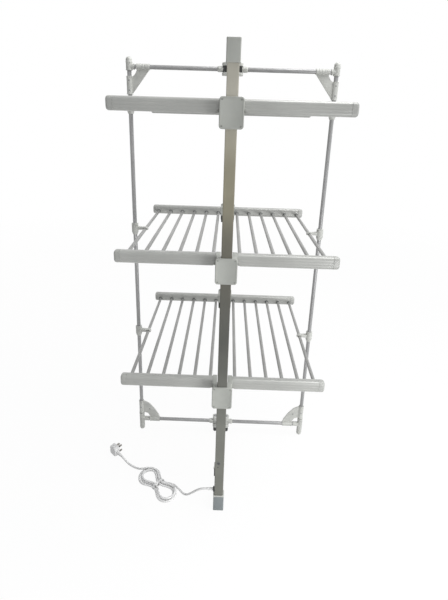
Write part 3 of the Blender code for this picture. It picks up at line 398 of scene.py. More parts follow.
mesh = bpy.data.meshes.new("floor")
corners = np.array([(-1, -1, 0), (1, -1, 0), (1, 1, 0), (-1, 1, 0)]) * FLOOR_REACH
mesh.from_pydata(corners.tolist(), [], [(0, 1, 2, 3)])
mesh.materials.append(floor_finish)
floor = bpy.data.objects.new("floor", mesh)
bpy.context.scene.collection.objects.link(floor)

world = bpy.data.worlds.new("studio")
bpy.context.scene.world = world
tree, camera_ray, seen = studio_tree(world)
sky = node(tree, "ShaderNodeTexCoord", {}).outputs["Generated"]
towards = node(tree, "ShaderNodeVectorMath", {0: sky, 1: BRIGHT_WAY}, operation="DOT_PRODUCT")
above = node(tree, "ShaderNodeMapRange", {"Value": towards.outputs["Value"],
                                          "From Min": -0.6, "From Max": 0.9})
soft = node(tree, "ShaderNodeMix", {MIX_FACTOR: above.outputs["Result"], MIX_A: LOW_LIGHT, MIX_B: HIGH_LIGHT},
            data_type="RGBA")
shown = node(tree, "ShaderNodeMix", {MIX_FACTOR: seen, MIX_A: soft.outputs[MIX_RESULT], MIX_B: WHITE},
             data_type="RGBA")
light = node(tree, "ShaderNodeBackground", {"Color": shown.outputs[MIX_RESULT], "Strength": 1.0})
node(tree, "ShaderNodeOutputWorld", {"Surface": light.outputs[0]})
print("floor", 2 * FLOOR_REACH, "m wide, world", world.name)

# %% [markdown]
# Two soft boxes model the shapes: a large one high on the right, and a small one low in front that lights
# the lowest tier and the lead.

# %% Lamps
def lamp(name, place_at, aim, size, power):
    """A square soft box that shines from a place towards a point."""
    data = bpy.data.lights.new(name, "AREA")
    data.size, data.energy = size, power      # metres and watts
    made = bpy.data.objects.new(name, data)
    back = np.array(place_at) - np.array(aim)
    back = back / np.linalg.norm(back)
    side = np.cross((0, 1, 0), back)
    side /= np.linalg.norm(side)
    turn = np.eye(4)
    turn[:3, :3] = np.stack((side, np.cross(back, side), back), 1)
    turn[:3, 3] = place_at
    made.matrix_world = Matrix(turn.tolist())
    bpy.context.scene.collection.objects.link(made)
    print("lamp", name, power, "W")


lamp("soft_box_above", (1.0, -0.2, 3.1), (0, 0, 0.8), 1.8, 52)
lamp("soft_box_low", (1.0, -1.4, 0.35), (0, -0.2, 0.1), 0.7, 11)
bpy.context.scene.view_settings.view_transform = "Standard"

# %% [markdown]
# ## The mains lead
# The lead leaves a gland near the foot of the front post, sags to the floor and runs into a hank that is
# tied at its waist, and its end runs on to the plug. The photograph shows it from end to end. The hank is
# a loop whose long runs are drawn together in the middle: it winds inwards along the floor and outwards
# again on top, at one rate, so no turn lies in another. The route repeats the CAD's own points.

# %% Route of the lead
LEAD_RADIUS = 0.0035
GAP = 0.0003
POST_LINE = 0.365
GLAND_HEIGHT = 0.082
LEAD_EXIT = np.array([-0.0403, -POST_LINE, GLAND_HEIGHT])
PLUG_EXIT = np.array([-0.385, -0.1755, 0.020])
PLUG_TURN = math.radians(140)
HANK_MIDDLE = (-0.222, -0.287)
HANK_TURN = math.radians(138)
HANK_HALF_RUN, HANK_FOLD, HANK_WAIST = 0.050, 0.022, 0.0042
HANK_STEP, HANK_WAIST_STEP, HANK_LAYER, HANK_CLIMB = 0.0080, 0.0091, 0.0076, 0.5
HANK_TURNS_DOWN, HANK_START, HANK_END, RUN_SHARE = 2.0, -0.14, 3.195, 0.28
LEAD_STEP = 0.004             # between rings of the drawn lead
POINTS_PER_TURN = 96          # of the hank
NUDGE = 0.002                 # of a turn, to see which way the lead runs


def at_hank(x, y, z):
    """Points drawn about the hank's own middle, turned and put in place."""
    c, s = math.cos(HANK_TURN), math.sin(HANK_TURN)
    return np.stack((HANK_MIDDLE[0] + x * c - y * s, HANK_MIDDLE[1] + x * s + y * c, z), -1)


def hank_path(turn):
    """Points of the hank. A run is x from end to end with y = waist + swell (1 - cos(pi x / run)) / 2;
    a fold is half an ellipse; the second half turn is the first one turned round."""
    out = np.abs(HANK_TURNS_DOWN - turn)
    part = (turn + RUN_SHARE / 2) % 1.0
    way = np.where(part < 0.5, 1, -1)
    part = part % 0.5
    run = HANK_HALF_RUN * (2 * part / RUN_SHARE - 1)
    swell = (HANK_FOLD - HANK_WAIST) * (1 - np.cos(math.pi * run / HANK_HALF_RUN)) / 2
    angle = math.pi * (part - RUN_SHARE) / (0.5 - RUN_SHARE)
    fold_x = HANK_HALF_RUN + (HANK_FOLD + out * HANK_STEP) * np.sin(angle)
    fold_y = -(HANK_FOLD + out * HANK_WAIST_STEP) * np.cos(angle)
    straight = part < RUN_SHARE
    x = way * np.where(straight, run, fold_x)
    y = way * np.where(straight, -(HANK_WAIST + out * HANK_WAIST_STEP + swell), fold_y)
    lift = np.clip((turn - HANK_TURNS_DOWN) / HANK_CLIMB + 0.5, 0, 1)
    return at_hank(x, y, LEAD_RADIUS + GAP + HANK_LAYER * lift * lift * (3 - 2 * lift))


def hank_end(turn):
    """A point of the hank and the level way in which the lead runs there."""
    before, here, after = hank_path(np.array([turn - NUDGE, turn, turn + NUDGE]))
    way = (after - before) * (1, 1, 0)
    return here, way / np.linalg.norm(way)


def smooth_route(points, step):
    """Even steps along the Catmull-Rom curve through a route whose end runs stay straight."""
    points = np.array(points)
    t = (np.arange(16) / 16)[None, :, None]
    a, b, c, d = (points[i:len(points) - 3 + i, None] for i in range(4))
    curve = 0.5 * (2 * b + (c - a) * t + (2 * a - 5 * b + 4 * c - d) * t ** 2
                   + (3 * b - a - 3 * c + d) * t ** 3)
    curve = np.concatenate((curve.reshape(-1, 3), points[-2:-1]))
    along = np.concatenate(([0], np.cumsum(np.linalg.norm(np.diff(curve, axis=0), axis=1))))
    stops = np.linspace(0, along[-1], round(along[-1] / step) + 1)
    between = np.stack([np.interp(stops, along, curve[:, i]) for i in range(3)], -1)
    return np.concatenate((points[:1], between, points[-1:]))


diameter = 2 * LEAD_RADIUS
lie = LEAD_RADIUS + GAP
meet, way_in = hank_end(HANK_START)
leave, way_out = hank_end(HANK_END)
lead_end = meet - (diameter + GAP) * way_in
lead_route = [LEAD_EXIT, LEAD_EXIT - (diameter + GAP, 0, 0), (-0.0640, -0.3630, 0.0765),
              (-0.0785, -0.3580, 0.0630), (-0.0920, -0.3510, 0.0455), (-0.1045, -0.3415, 0.0275),
              (-0.1170, -0.3300, 0.0125), (-0.1290, -0.3170, lie + 0.0008), lead_end - 0.014 * way_in,
              lead_end - diameter * way_in, lead_end]
tail_start = leave + (diameter + GAP) * way_out
run_in = np.array([math.cos(PLUG_TURN), math.sin(PLUG_TURN), 0])
tail_route = [tail_start, tail_start + diameter * way_out, (-0.288, -0.2245, 0.0098),
              (-0.304, -0.2215, 0.0060), (-0.321, -0.2150, lie + 0.0004), (-0.338, -0.2060, lie + 0.0002),
              (-0.352, -0.1975, 0.0062), (-0.364, -0.1900, 0.0120),
              PLUG_EXIT - 0.0125 * run_in - (0, 0, 0.0008), PLUG_EXIT - diameter * run_in, PLUG_EXIT]
turns = np.linspace(HANK_START, HANK_END, round((HANK_END - HANK_START) * POINTS_PER_TURN) + 1)
lead_path = np.concatenate((smooth_route(lead_route, LEAD_STEP), hank_path(turns),
                            smooth_route(tail_route, LEAD_STEP)))


# %% [markdown]
# A tube needs a way to face its rings. The lead never stands upright, so the side of each ring is the
# level direction across the path, and its top is at right angles to both. That needs no memory of the
# ring before, so all rings are worked out at once.

# %% Tube along the route
def tube(path, radius, sides=16):
    """Rings of a round tube: centre + r cos t side + r sin t top."""
    ahead = np.gradient(path, axis=0)
    ahead /= np.linalg.norm(ahead, axis=1, keepdims=True)
    side = np.cross(ahead, (0, 0, 1))
    side /= np.linalg.norm(side, axis=1, keepdims=True)
    top = np.cross(side, ahead)
    turn = np.arange(sides) * 2 * math.pi / sides
    radius = np.broadcast_to(radius, len(path))[:, None, None]
    round_by = side[:, None] * np.cos(turn)[None, :, None] + top[:, None] * np.sin(turn)[None, :, None]
    return skin(path[:, None] + radius * round_by)


mains_lead = piece("mains_lead", [tube(lead_path, LEAD_RADIUS)], lead_pvc, "frame",
                   ("cord_lead", "cord_hank", "cord_tail"), 60)
print("lead", len(mains_lead.data.vertices), "points in its skin")

# %% [markdown]
# ## Tie, gland and plug
# A flat strap holds the hank at its waist; it is a band carried round the outline of the turns there. The
# gland is a black flange on the post, and from it a ribbed sleeve of the lead's own PVC tapers over 21 mm,
# so that the lead can't be bent sharply where it leaves.

# %% Tie and gland
STRAP_WIDTH, STRAP_THICK = 0.0065, 0.0011


def strap():
    """A band across the hank: an outline round the turns and the same outline moved inwards, closed."""
    around = soften([(-0.0280, 0.0002), (0.0235, 0.0002), (0.0235, 0.0080), (0.0140, 0.0162),
                     (-0.0185, 0.0162), (-0.0280, 0.0085)], 0.0045, 6)
    rings = []
    for along, in_by in ((-1, 0.0), (1, 0.0), (1, STRAP_THICK), (-1, STRAP_THICK)):
        y, z = inset(around, in_by).T
        rings.append(at_hank(np.full_like(y, along * STRAP_WIDTH / 2), y, z))
    return hoop(np.stack(rings))


lead_tie = piece("lead_tie", [strap()], lead_pvc, "frame", (), 50)

GLAND = (-POST_LINE, GLAND_HEIGHT)
neck = [(-0.0092, 0.0), (-0.0092, 0.0075), (-0.0132, 0.0075), (-0.0132, 0.0055), (-0.0153, 0.0055)]
flange = [(-0.0153, 0.0090), (-0.0183, 0.0090), (-0.0193, 0.0082), (-0.0193, 0.0055), (-0.0195, 0.0)]
piece("gland_flange", [turned("x", [*neck, *flange], GLAND)], black_plastic, "frame", ("cord_gland",))

RELIEF_FROM, RELIEF_TO, RIBS = 0.0190, 0.0403, 5
RELIEF_RADIUS, RELIEF_TAPER, RIB_DEEP = 0.0053, 0.0012, 0.0006
share = np.linspace(0, 1, RIBS * 8 + 1)
ribbed = RELIEF_RADIUS - RELIEF_TAPER * share - RIB_DEEP * (np.cos(2 * math.pi * RIBS * share) < -0.2)
sleeve = np.stack((-(RELIEF_FROM + (RELIEF_TO - RELIEF_FROM) * share), ribbed), -1)
piece("strain_relief", [turned("x", sleeve, GLAND, 24)], lead_pvc, "frame", (), 30)
print("strain relief", round(RELIEF_TO - RELIEF_FROM, 4), "m")

# %% [markdown]
# The plug is the one thing of standard size here. Its body narrows a little at the fingers and away from
# its pins; two of the three pins have black sleeves over half their length.

# %% Plug
PLUG_LENGTH, PLUG_WIDTH, PLUG_BOSS = 0.038, 0.040, 0.020
BOSS_START, BOSS_LONG, BOSS_RADIUS, BOSS_TAPER, BOSS_RIB = 0.016, 0.023, 0.0068, 0.0022, 0.0008
PIN_LINE, PIN_SPREAD, EARTH_LINE = 0.0080, 0.0111, -0.0142

turn = PLUG_TURN + math.pi
turning = np.array([(math.cos(turn), -math.sin(turn), 0), (math.sin(turn), math.cos(turn), 0), (0, 0, 1)])
plug_middle = PLUG_EXIT - turning @ (PLUG_LENGTH / 2 + PLUG_BOSS + GAP, 0, 0)


def at_plug(shells):
    """Shells drawn about the plug's own middle, with X to the lead and Y along the pins, put in place."""
    return [(points @ turning.T + plug_middle, faces) for points, faces in shells]


outline = rounded(PLUG_LENGTH, PLUG_WIDTH, 0.0095, (0, 0), 8)
rings = []
for y, in_by in ((-0.010, 0.0050), (-0.0096, 0.0034), (-0.0085, 0.0022), (-0.006, 0.0014), (-0.001, 0.0011),
                 (0.0035, 0.0008), (0.0045, 0.0001), (0.0090, 0.0), (0.0098, 0.0005), (0.010, 0.0012)):
    rings.append(across("y", y, *inset(outline, in_by).T))
share = np.linspace(0, 1, 33)
boss_radius = BOSS_RADIUS - BOSS_TAPER * share - BOSS_RIB * (np.cos(8 * math.pi * share) < -0.3)
boss = np.stack((BOSS_START + BOSS_LONG * share, boss_radius), -1)
plug_body = piece("plug_body", at_plug([skin(np.stack(rings)), turned("x", boss, sides=24)]), lead_pvc,
                  "frame", ("plug",), 40)


def plug_pin(middle, width, height, ease, start, end, rim_ease):
    """A pin, or the sleeve on one: a bar with round corners, from the plug's face outwards."""
    return plate("y", rounded(width, height, ease, middle, 3), start, end, rim_ease)


FLAT_PINS = [(PIN_LINE, side * PIN_SPREAD) for side in (-1, 1)]
pins = [plug_pin(middle, 0.0040, 0.0064, 0.0008, 0.009, 0.0277, 0.0006) for middle in FLAT_PINS]
pins.append(plug_pin((EARTH_LINE, 0), 0.0080, 0.0040, 0.0008, 0.009, 0.0327, 0.0006))
plug_pins = piece("plug_pins", at_plug(pins), pin_metal, "frame")
sleeves = [plug_pin(middle, 0.0042, 0.0066, 0.0009, 0.0095, 0.0190, 0.0002) for middle in FLAT_PINS]
plug_sleeves = piece("plug_pin_sleeves", at_plug(sleeves), black_plastic, "frame", ())

print("plug", PLUG_LENGTH, "by", PLUG_WIDTH, "m")

# %% [markdown]
# ## Headers
# A header is a rolled bar, 37 by 27 mm, with round corners and two fine grooves along its outer face. At
# its hinge the underside rises on a quarter circle about the pin, and a slot takes the bracket's tongue.
# All that is one skin: the ring across the bar is an outline whose bottom and slot are functions of X.

# %% Header
TIERS = {"low": 0.475, "mid": 0.892, "top": 1.309}
SIDES = {"left": -1, "right": 1}
FACES = {"front": -1, "rear": 1}
HEADER_HALF, HEADER_LINE, HEADER_DEPTH, HEADER_ROUND = 0.0185, 0.320, 0.027, 0.009
HEADER_JOINT, HEADER_REACH, END_ROUND = 0.3060, 0.325, 0.008
PIN_X, PIN_Z, RELIEF = 0.0413, -0.0085, 0.010
SLOT, SLOT_TOP, SLOT_END = (0.3192, 0.3278), 0.0001, 0.0499
GROOVES, GROOVE_DEEP, GROOVE_HALF = (-0.0050, 0.0040), 0.00025, 0.0007


def header_ring(x, bottom=-HEADER_HALF, slot_top=None, shrink=0.0, groove=GROOVE_DEEP):
    """The outline across a header at x: four arcs, the slot's two walls if it has them, and the grooves.

    The last arc starts at the slot's outer wall, where cos(angle) = (wall - arc's centre) / radius.
    """
    half, top, low = HEADER_DEPTH / 2 - shrink, HEADER_HALF - shrink, bottom + shrink
    radius = HEADER_ROUND - 0.6 * shrink
    offset = half - radius
    slot_turn = -math.degrees(math.acos((SLOT[1] - HEADER_LINE - HEADER_DEPTH / 2) / HEADER_ROUND + 1))
    arcs = []
    for i, level, start, end in ((1, top, 0, 90), (-1, top, 90, 180), (-1, low, 180, 270),
                                 (1, low, slot_turn, 0)):
        turn = np.radians(np.linspace(start, end, 8))
        centre = (HEADER_LINE + i * offset, level - radius if level == top else level + radius)
        arcs.append(np.stack((centre[0] + radius * np.cos(turn), centre[1] + radius * np.sin(turn)), -1))
    slot = [(SLOT[0], low), (SLOT[0], low), (HEADER_LINE + offset, low)]
    if slot_top is not None:
        slot = [(SLOT[0], low), (SLOT[0], slot_top), (SLOT[1], slot_top)]
    middle, share = (top + low) / 2, min(1.0, (top - low - 2 * radius) / (2 * (HEADER_HALF - HEADER_ROUND)))
    grooves = [(HEADER_LINE + half - deep * groove, middle + share * (z + side * GROOVE_HALF))
               for z in GROOVES for side, deep in ((-1, 0), (0, 1), (1, 0))]
    flat = np.concatenate((*arcs[:3], slot, arcs[3], grooves))
    return across("x", x, *flat.T)


def header_bar():
    """The bar from its hinge to the joint of its end cap."""
    swing = np.linspace(0, math.pi / 2, 7)
    x = PIN_X - RELIEF * np.cos(swing)
    bottom = PIN_Z - RELIEF * np.sin(swing)
    rings = [header_ring(a, b, SLOT_TOP) for a, b in zip(x, bottom)]
    rings += [header_ring(SLOT_END, slot_top=SLOT_TOP), header_ring(SLOT_END), header_ring(HEADER_JOINT)]
    return skin(np.stack(rings))


def header_cap():
    """The moulded end: a short straight length, then a quarter circle in to a flat end."""
    turn = np.linspace(0, math.pi / 2, 9)
    steps = [(HEADER_JOINT - 0.004, 0.002), (HEADER_JOINT + 0.0003, 0.002), (HEADER_JOINT + 0.0003, 0.0006),
             (HEADER_JOINT + 0.0009, 0.0)]
    steps += list(zip(HEADER_REACH - END_ROUND * (1 - np.sin(turn)), END_ROUND * (1 - np.cos(turn))))
    return skin(np.stack([header_ring(x, shrink=by, groove=0.0) for x, by in steps]))


bar, cap = [header_bar()], [header_cap()]
for side, x in SIDES.items():
    for tier, height in TIERS.items():
        for face, y in FACES.items():
            name = f"{side}_{face}_header_{tier}"
            body = f"{side}_wing_{tier}"
            piece(f"{name}_bar", mirrored(bar, x, y, height), header_paint, body, (name,))
            piece(f"{name}_cap", mirrored(cap, x, y, height), cap_plastic, body, ())
print("headers", len(SIDES) * len(TIERS) * len(FACES))

# %% [markdown]
# ## Rods
# Six drawn tubes lie between a pair of headers, each in a collar that flares towards the header. The
# collar's dark grey is partly its own colour and partly painted shade, the dark spot at the end of every
# rod. A wing's rods are one piece, as they move together.

# %% Rods and collars
ROD_RADIUS, ROD_DROP, ROD_END = 0.00575, 0.006, 0.3110
FIRST_ROD, ROD_PITCH, ROD_COUNT = 0.040, 0.0517, 6
rod_places = FIRST_ROD + ROD_PITCH * np.arange(ROD_COUNT)
rods = [round_bar("y", -ROD_END, ROD_END, ROD_RADIUS, (x, -ROD_DROP), sides=24) for x in rod_places]
flare = np.array([(0.3080, 0.0), (0.3080, 0.0078), (0.3055, 0.0078), (0.3040, 0.0075), (0.3010, 0.0069),
                  (0.2985, 0.0066), (0.2978, 0.0062), (0.2978, 0.0)])
collars = [turned("y", flare * (end, 1), (x, -ROD_DROP), 20) for x in rod_places for end in (-1, 1)]
for side, x in SIDES.items():
    for tier, height in TIERS.items():
        body = f"{side}_wing_{tier}"
        piece(f"{body}_rods", mirrored(rods, x, 1, height), rod_metal, body, (f"{side}_rods_{tier}",),
              50)
        # The collars' dark grey paints the shade at each rod's end.
        piece(f"{body}_rod_collars", mirrored(collars, x, 1, height), collar_plastic_and_painted_shade, body, ())
print("rods", len(SIDES) * len(TIERS) * ROD_COUNT)

# %% [markdown]
# ## Brackets
# Each bracket is a clamp round the post with a cover plate in front, two arms that reach back to the
# headers and a tongue with the hinge pin on each arm. The plate's rim is round, its face is sunk by half
# a millimetre and four small plugs close its screw holes; their darker grey paints the shade of the screw
# dimples. A small black catch hangs under each arm, and its black paints the shade under the arm.

# %% Brackets
PLATE_DROP, PLATE_WIDTH, PLATE_HALF, PLATE_BACK, PLATE_FACE = 0.017, 0.062, 0.0385, 0.3753, 0.379
CLAMP_HALF, SCREW_X, SCREW_Z = 0.0355, 0.0240, 0.0315
TONGUE_LINE, TONGUE_ROUND, TONGUE_START, ARM_HALF = 0.3235, 0.008, 0.024, 0.0180

cover = rounded(PLATE_WIDTH, 2 * PLATE_HALF, 0.008, (0, -PLATE_DROP), 8)
cover_plate = plate("y", cover, PLATE_BACK - 0.001, PLATE_FACE, 0.0018,
                    [(PLATE_FACE, 0.0032), (PLATE_FACE - 0.0005, 0.0040)])
clamp = plate("z", rounded(0.056, 0.0315, 0.003, (0, 0.3606), 4), -PLATE_DROP - CLAMP_HALF,
              -PLATE_DROP + CLAMP_HALF, 0.0015)
nose = np.radians(np.linspace(-90, 90, 13))
tongue = np.array([(TONGUE_START, PIN_Z - TONGUE_ROUND),
                   *zip(PIN_X + TONGUE_ROUND * np.cos(nose), PIN_Z + TONGUE_ROUND * np.sin(nose)),
                   (TONGUE_START, PIN_Z + TONGUE_ROUND)])
bracket, painted_shade_catches = [cover_plate, clamp], []
for x in (-1, 1):
    arm, stem = sorted((x * 0.017, x * 0.031)), sorted((x * 0.0175, x * 0.0285))
    bracket += [brick(arm, (0.3065, 0.352), (-ARM_HALF, ARM_HALF), 0.0012),
                plate("y", tongue * (x, 1), TONGUE_LINE - 0.004, TONGUE_LINE + 0.004, 0.0004),
                round_bar("y", TONGUE_LINE - 0.007, TONGUE_LINE + 0.007, 0.003, (x * PIN_X, PIN_Z),
                          0.0004, 16)]
    # Black catches under the arms: painted shade under each arm.
    painted_shade_catches += [brick(stem, (0.3130, 0.3290), (-0.0400, -ARM_HALF + 0.0015), 0.0015),
                round_bar("y", 0.3115, 0.3305, 0.0052, (x * 0.0230, -0.0440), 0.0008, 24)]
plugs = [round_bar("y", PLATE_FACE - 0.003, PLATE_FACE - 0.0001, 0.0024,
                   (x * SCREW_X, -PLATE_DROP + z * SCREW_Z), 0.0004, 20) for x in (-1, 1) for z in (-1, 1)]
for face, y in FACES.items():
    for tier, height in TIERS.items():
        name = f"{face}_bracket_{tier}"
        piece(f"{name}_body", mirrored(bracket, 1, y, height), plate_plastic, "frame", (name,))
        # The plugs' darker grey paints the shade in the screw dimples.
        piece(f"{name}_plugs", mirrored(plugs, 1, y, height), plug_plastic_painted_shade, "frame", ())
        piece(f"{name}_catches", mirrored(painted_shade_catches, 1, y, height), black_plastic, "frame", ())
print("brackets", len(FACES) * len(TIERS))

# %% [markdown]
# ## Posts, caps and feet
# The posts and the two beams keep their CAD shape, which is right as it is: rectangular tube with small
# corners. Their caps and feet are cups, so their skins have a soft closed end, and a lip at the mouth that
# leaves the fine line seen in the photograph.

# %% Posts, caps and feet
CUP_WIDTH, CUP_DEPTH, CAP_MOUTH, POST_TOP, FOOT_MOUTH = 0.036, 0.026, 1.4057, 1.461, 0.0644

for name in ("front_post", "rear_post", "beam_low", "beam_high"):
    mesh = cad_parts[name].data
    mesh.materials.clear()
    mesh.materials.append(post_metal)


def cup(mouth, end, soft=0.0022):
    """A cap or foot: a rounded rectangle carried along Z, with a bead at the mouth and a soft closed end."""
    way = 1 if end > mouth else -1
    outline = rounded(CUP_WIDTH, CUP_DEPTH, 0.0032, (0, POST_LINE), 6)
    turn = np.linspace(0, math.pi / 2, 7)
    steps = [(mouth, 0.0020), (mouth, 0.0008), (mouth + way * 0.0006, 0.0), (mouth + way * 0.0022, 0.0),
             (mouth + way * 0.0026, 0.0004)]
    steps += list(zip(end - way * soft * (1 - np.sin(turn)), 0.0004 + soft * (1 - np.cos(turn))))
    return skin(np.stack([across("z", z, *inset(outline, by).T) for z, by in steps]))


foot_lip = plate("z", rounded(0.0364, 0.0264, 0.0034, (0, POST_LINE), 6), 0.0608, 0.0650, 0.0008)
for face, y in FACES.items():
    piece(f"{face}_post_cap_cup", mirrored([cup(CAP_MOUTH, POST_TOP)], 1, y), plate_plastic, "frame",
          (f"{face}_post_cap",))
    piece(f"{face}_foot_cup", mirrored([cup(FOOT_MOUTH, 0.0)], 1, y), foot_plastic, "frame",
          (f"{face}_foot",))
    piece(f"{face}_foot_lip", mirrored([foot_lip], 1, y), pale_nylon, "frame", ())
print("posts", POST_TOP, "m high")

# %% [markdown]
# ## Side frames
# Each side frame is a round upright with a rail at the top and the bottom. The rails end in eyes that turn
# on the hubs' pins. Nylon tees, corner gussets and hooks are pushed over the tubes; each sleeve has a
# bead at its mouths, which is where a moulding is strongest and what catches the light.

# %% Tubes, eyes and rail collars
TUBE_RADIUS, UPRIGHT_LINE, RAIL_LOW, RAIL_HIGH = 0.007, 0.3355, 0.050, 1.430
RAIL_END, EYE_X, EYE_HALF = 0.3282, 0.024, 0.0095

upright = [round_bar("z", 0.010, 1.448, TUBE_RADIUS, (UPRIGHT_LINE, 0), sides=32)]


def rail(height):
    """The tube of a rail, from inside its eye's wall to the tee."""
    return [round_bar("x", 0.0300, RAIL_END, TUBE_RADIUS, (0, height), sides=32)]


def eye(height):
    """The eye round the hub's pin: a bored cylinder with a bead round its waist."""
    low, high = height - EYE_HALF, height + EYE_HALF
    profile = [(low, 0.0041), (low, 0.0083), (low + 0.0007, 0.0090), (high - 0.0007, 0.0090), (high, 0.0083),
               (high, 0.0041)]
    return [turned("z", profile, (EYE_X, 0), 36, True)]


def rail_collar(height):
    """The collar next to the eye, tapering to the tube."""
    profile = [(0.0310, 0.0), (0.0310, 0.0080), (0.0350, 0.0086), (0.0356, 0.0095), (0.0454, 0.0095),
               (0.0460, 0.0089), (0.0490, 0.0078), (0.0490, 0.0)]
    return [turned("x", profile, (0, height), 36)]


# %% [markdown]
# Tees: a sleeve for the upright with a stub for the rail. The high one is closed by a dome, the low one by
# the rounded foot that stands on the floor.

# %% Tees
TEE_TOP, TEE_RADIUS, STUB_RADIUS = 1.460, 0.0102, 0.0090


def beaded(low, high, radius, bead=0.0007, width=0.0028):
    """Profile of a sleeve with a rounded bead at each mouth."""
    turn = np.linspace(0, math.pi, 7)
    first = np.stack((low + width / 2 * (1 - np.cos(turn)), radius + bead * np.sin(turn)), -1)
    last = np.stack((high - width / 2 * (1 + np.cos(turn)), radius + bead * np.sin(turn)), -1)
    return np.concatenate(([(low, radius - 0.0012)], first, last, [(high, radius - 0.0012)]))


def stub(start, height):
    """A tee's short sleeve for the rail, with a bead at its mouth."""
    sleeve = [*beaded(start, UPRIGHT_LINE, STUB_RADIUS)[:8], (UPRIGHT_LINE, STUB_RADIUS)]
    return turned("x", sleeve, (0, height))


def high_tee():
    """The sleeve from below the rail to a dome over the upright's end, and the rail's stub."""
    turn = np.linspace(0, math.pi / 2, 9)
    dome = np.stack((TEE_TOP - 0.010 * (1 - np.sin(turn)), TEE_RADIUS * np.cos(turn)), -1)
    sleeve = [*beaded(1.4185, 1.4440, TEE_RADIUS)[:-2], *dome]
    return [turned("z", sleeve, (UPRIGHT_LINE, 0)), stub(0.3175, RAIL_HIGH)]


def low_tee():
    """The sleeve from the floor to over the rail, whose toe is a quarter of an ellipse, and the stub."""
    turn = np.linspace(0, math.pi / 2, 7)
    toe = np.stack((0.009 * (1 - np.cos(turn)), TEE_RADIUS * (0.5 + 0.5 * np.sin(turn))), -1)
    sleeve = [*toe, *beaded(0.030, 0.079, TEE_RADIUS)[9:]]
    return [turned("z", sleeve, (UPRIGHT_LINE, 0)), stub(0.3055, RAIL_LOW)]


# %% [markdown]
# Gussets: two sleeves and a flat web. The high one has a straight outer edge and ribs round its rail
# sleeve; the low one bulges outwards. Both have a hollow inner edge. Their webs are outlines with curved
# corners, carried through the web's thickness.

# %% Gussets
SLEEVE_RADIUS, WEB_HALF = 0.0098, 0.0025


def screw_head(axis, at, middle, radius=0.0026, thick=0.0010, way=-1):
    """A pan head: a low dome on a short cylinder."""
    turn = np.linspace(0, math.pi / 2, 6)
    dome = np.stack((at + way * thick * (0.35 + 0.65 * np.sin(turn)), radius * np.cos(turn)), -1)
    return turned(axis, [(at - way * 0.0008, 0.0), (at - way * 0.0008, radius), *dome], middle, 20)


def cross(at, middle, reach=0.0014, way=-1):
    """The recess of a cross-head screw, drawn as a dark cross just proud of a dome that faces Y."""
    # The dark cross paints the shade in the screw's recess.
    out = at + way * 0.00115
    arms = []
    for wide, tall in ((reach, reach / 4), (reach / 4, reach)):
        corners = rounded(2 * wide, 2 * tall, reach / 8, middle, 2)
        arms.append(plate("y", corners, *sorted((out, at)), 0.00005))
    return arms


def gusset(rail_sleeve, post_sleeve, height, web):
    """A web between a sleeve along the rail and one up the upright."""
    return [turned("x", rail_sleeve, (0, height)), turned("z", post_sleeve, (UPRIGHT_LINE, 0)),
            plate("y", web, -WEB_HALF, WEB_HALF, 0.0008)]


share = np.linspace(0, 1, 57)
ribs = SLEEVE_RADIUS - 0.0008 + 0.0008 * (np.abs(np.sin(5 * math.pi * share)) > 0.45)
ribbed_sleeve = np.stack((0.268 + 0.044 * share, ribs), -1)
high_web = soften([(0.2695, 1.430), (0.2695, 1.4215), (0.3270, 1.3465), (0.3355, 1.3465), (0.3355, 1.3995),
                   (0.3250, 1.3995), (0.3165, 1.408), (0.3105, 1.4195), (0.3105, 1.430)], 0.004)
high_gusset = gusset(ribbed_sleeve, beaded(1.345, 1.401, SLEEVE_RADIUS), RAIL_HIGH, high_web)
low_web = soften([(0.2626, 0.050), (0.3000, 0.050), (0.3005, 0.0605), (0.3085, 0.078), (0.325, 0.0835),
                  (0.3355, 0.0835), (0.3355, 0.1390), (0.3265, 0.1390), (0.304, 0.1285), (0.2815, 0.1015),
                  (0.2626, 0.069)], 0.006)
low_gusset = gusset(beaded(0.261, 0.3015, SLEEVE_RADIUS), beaded(0.082, 0.1405, SLEEVE_RADIUS), RAIL_LOW,
                    low_web)
SEAT = SLEEVE_RADIUS - 0.0002      # how far out a screw sits on a sleeve
front_screws = [(-SEAT, (UPRIGHT_LINE, 1.358)), (-SEAT, (UPRIGHT_LINE, 1.388)), (-WEB_HALF, (0.302, 0.100))]
gusset_screws = [screw_head("y", at, middle) for at, middle in front_screws]
gusset_screws += [screw_head("y", SEAT, (UPRIGHT_LINE, 1.373), way=1),
                  screw_head("y", -SEAT, (UPRIGHT_LINE, 0.111))]
# Black crosses on the front screws: painted shade of their recesses.
gusset_recess_shades = [shell for at, middle in front_screws for shell in cross(at, middle)]

# %% [markdown]
# Hooks: a collar on the upright, narrower below, with an arm that ends in a saddle over the wing's last
# rod. In side view the arm is one outline with a half circle over the rod, so the wing leaves it downwards.

# %% Hooks
LAST_ROD = rod_places[-1]
SADDLE, CHEEK, CHEEK_TOP, CHEEK_END = 0.0062, 0.0102, 0.0095, -0.0070


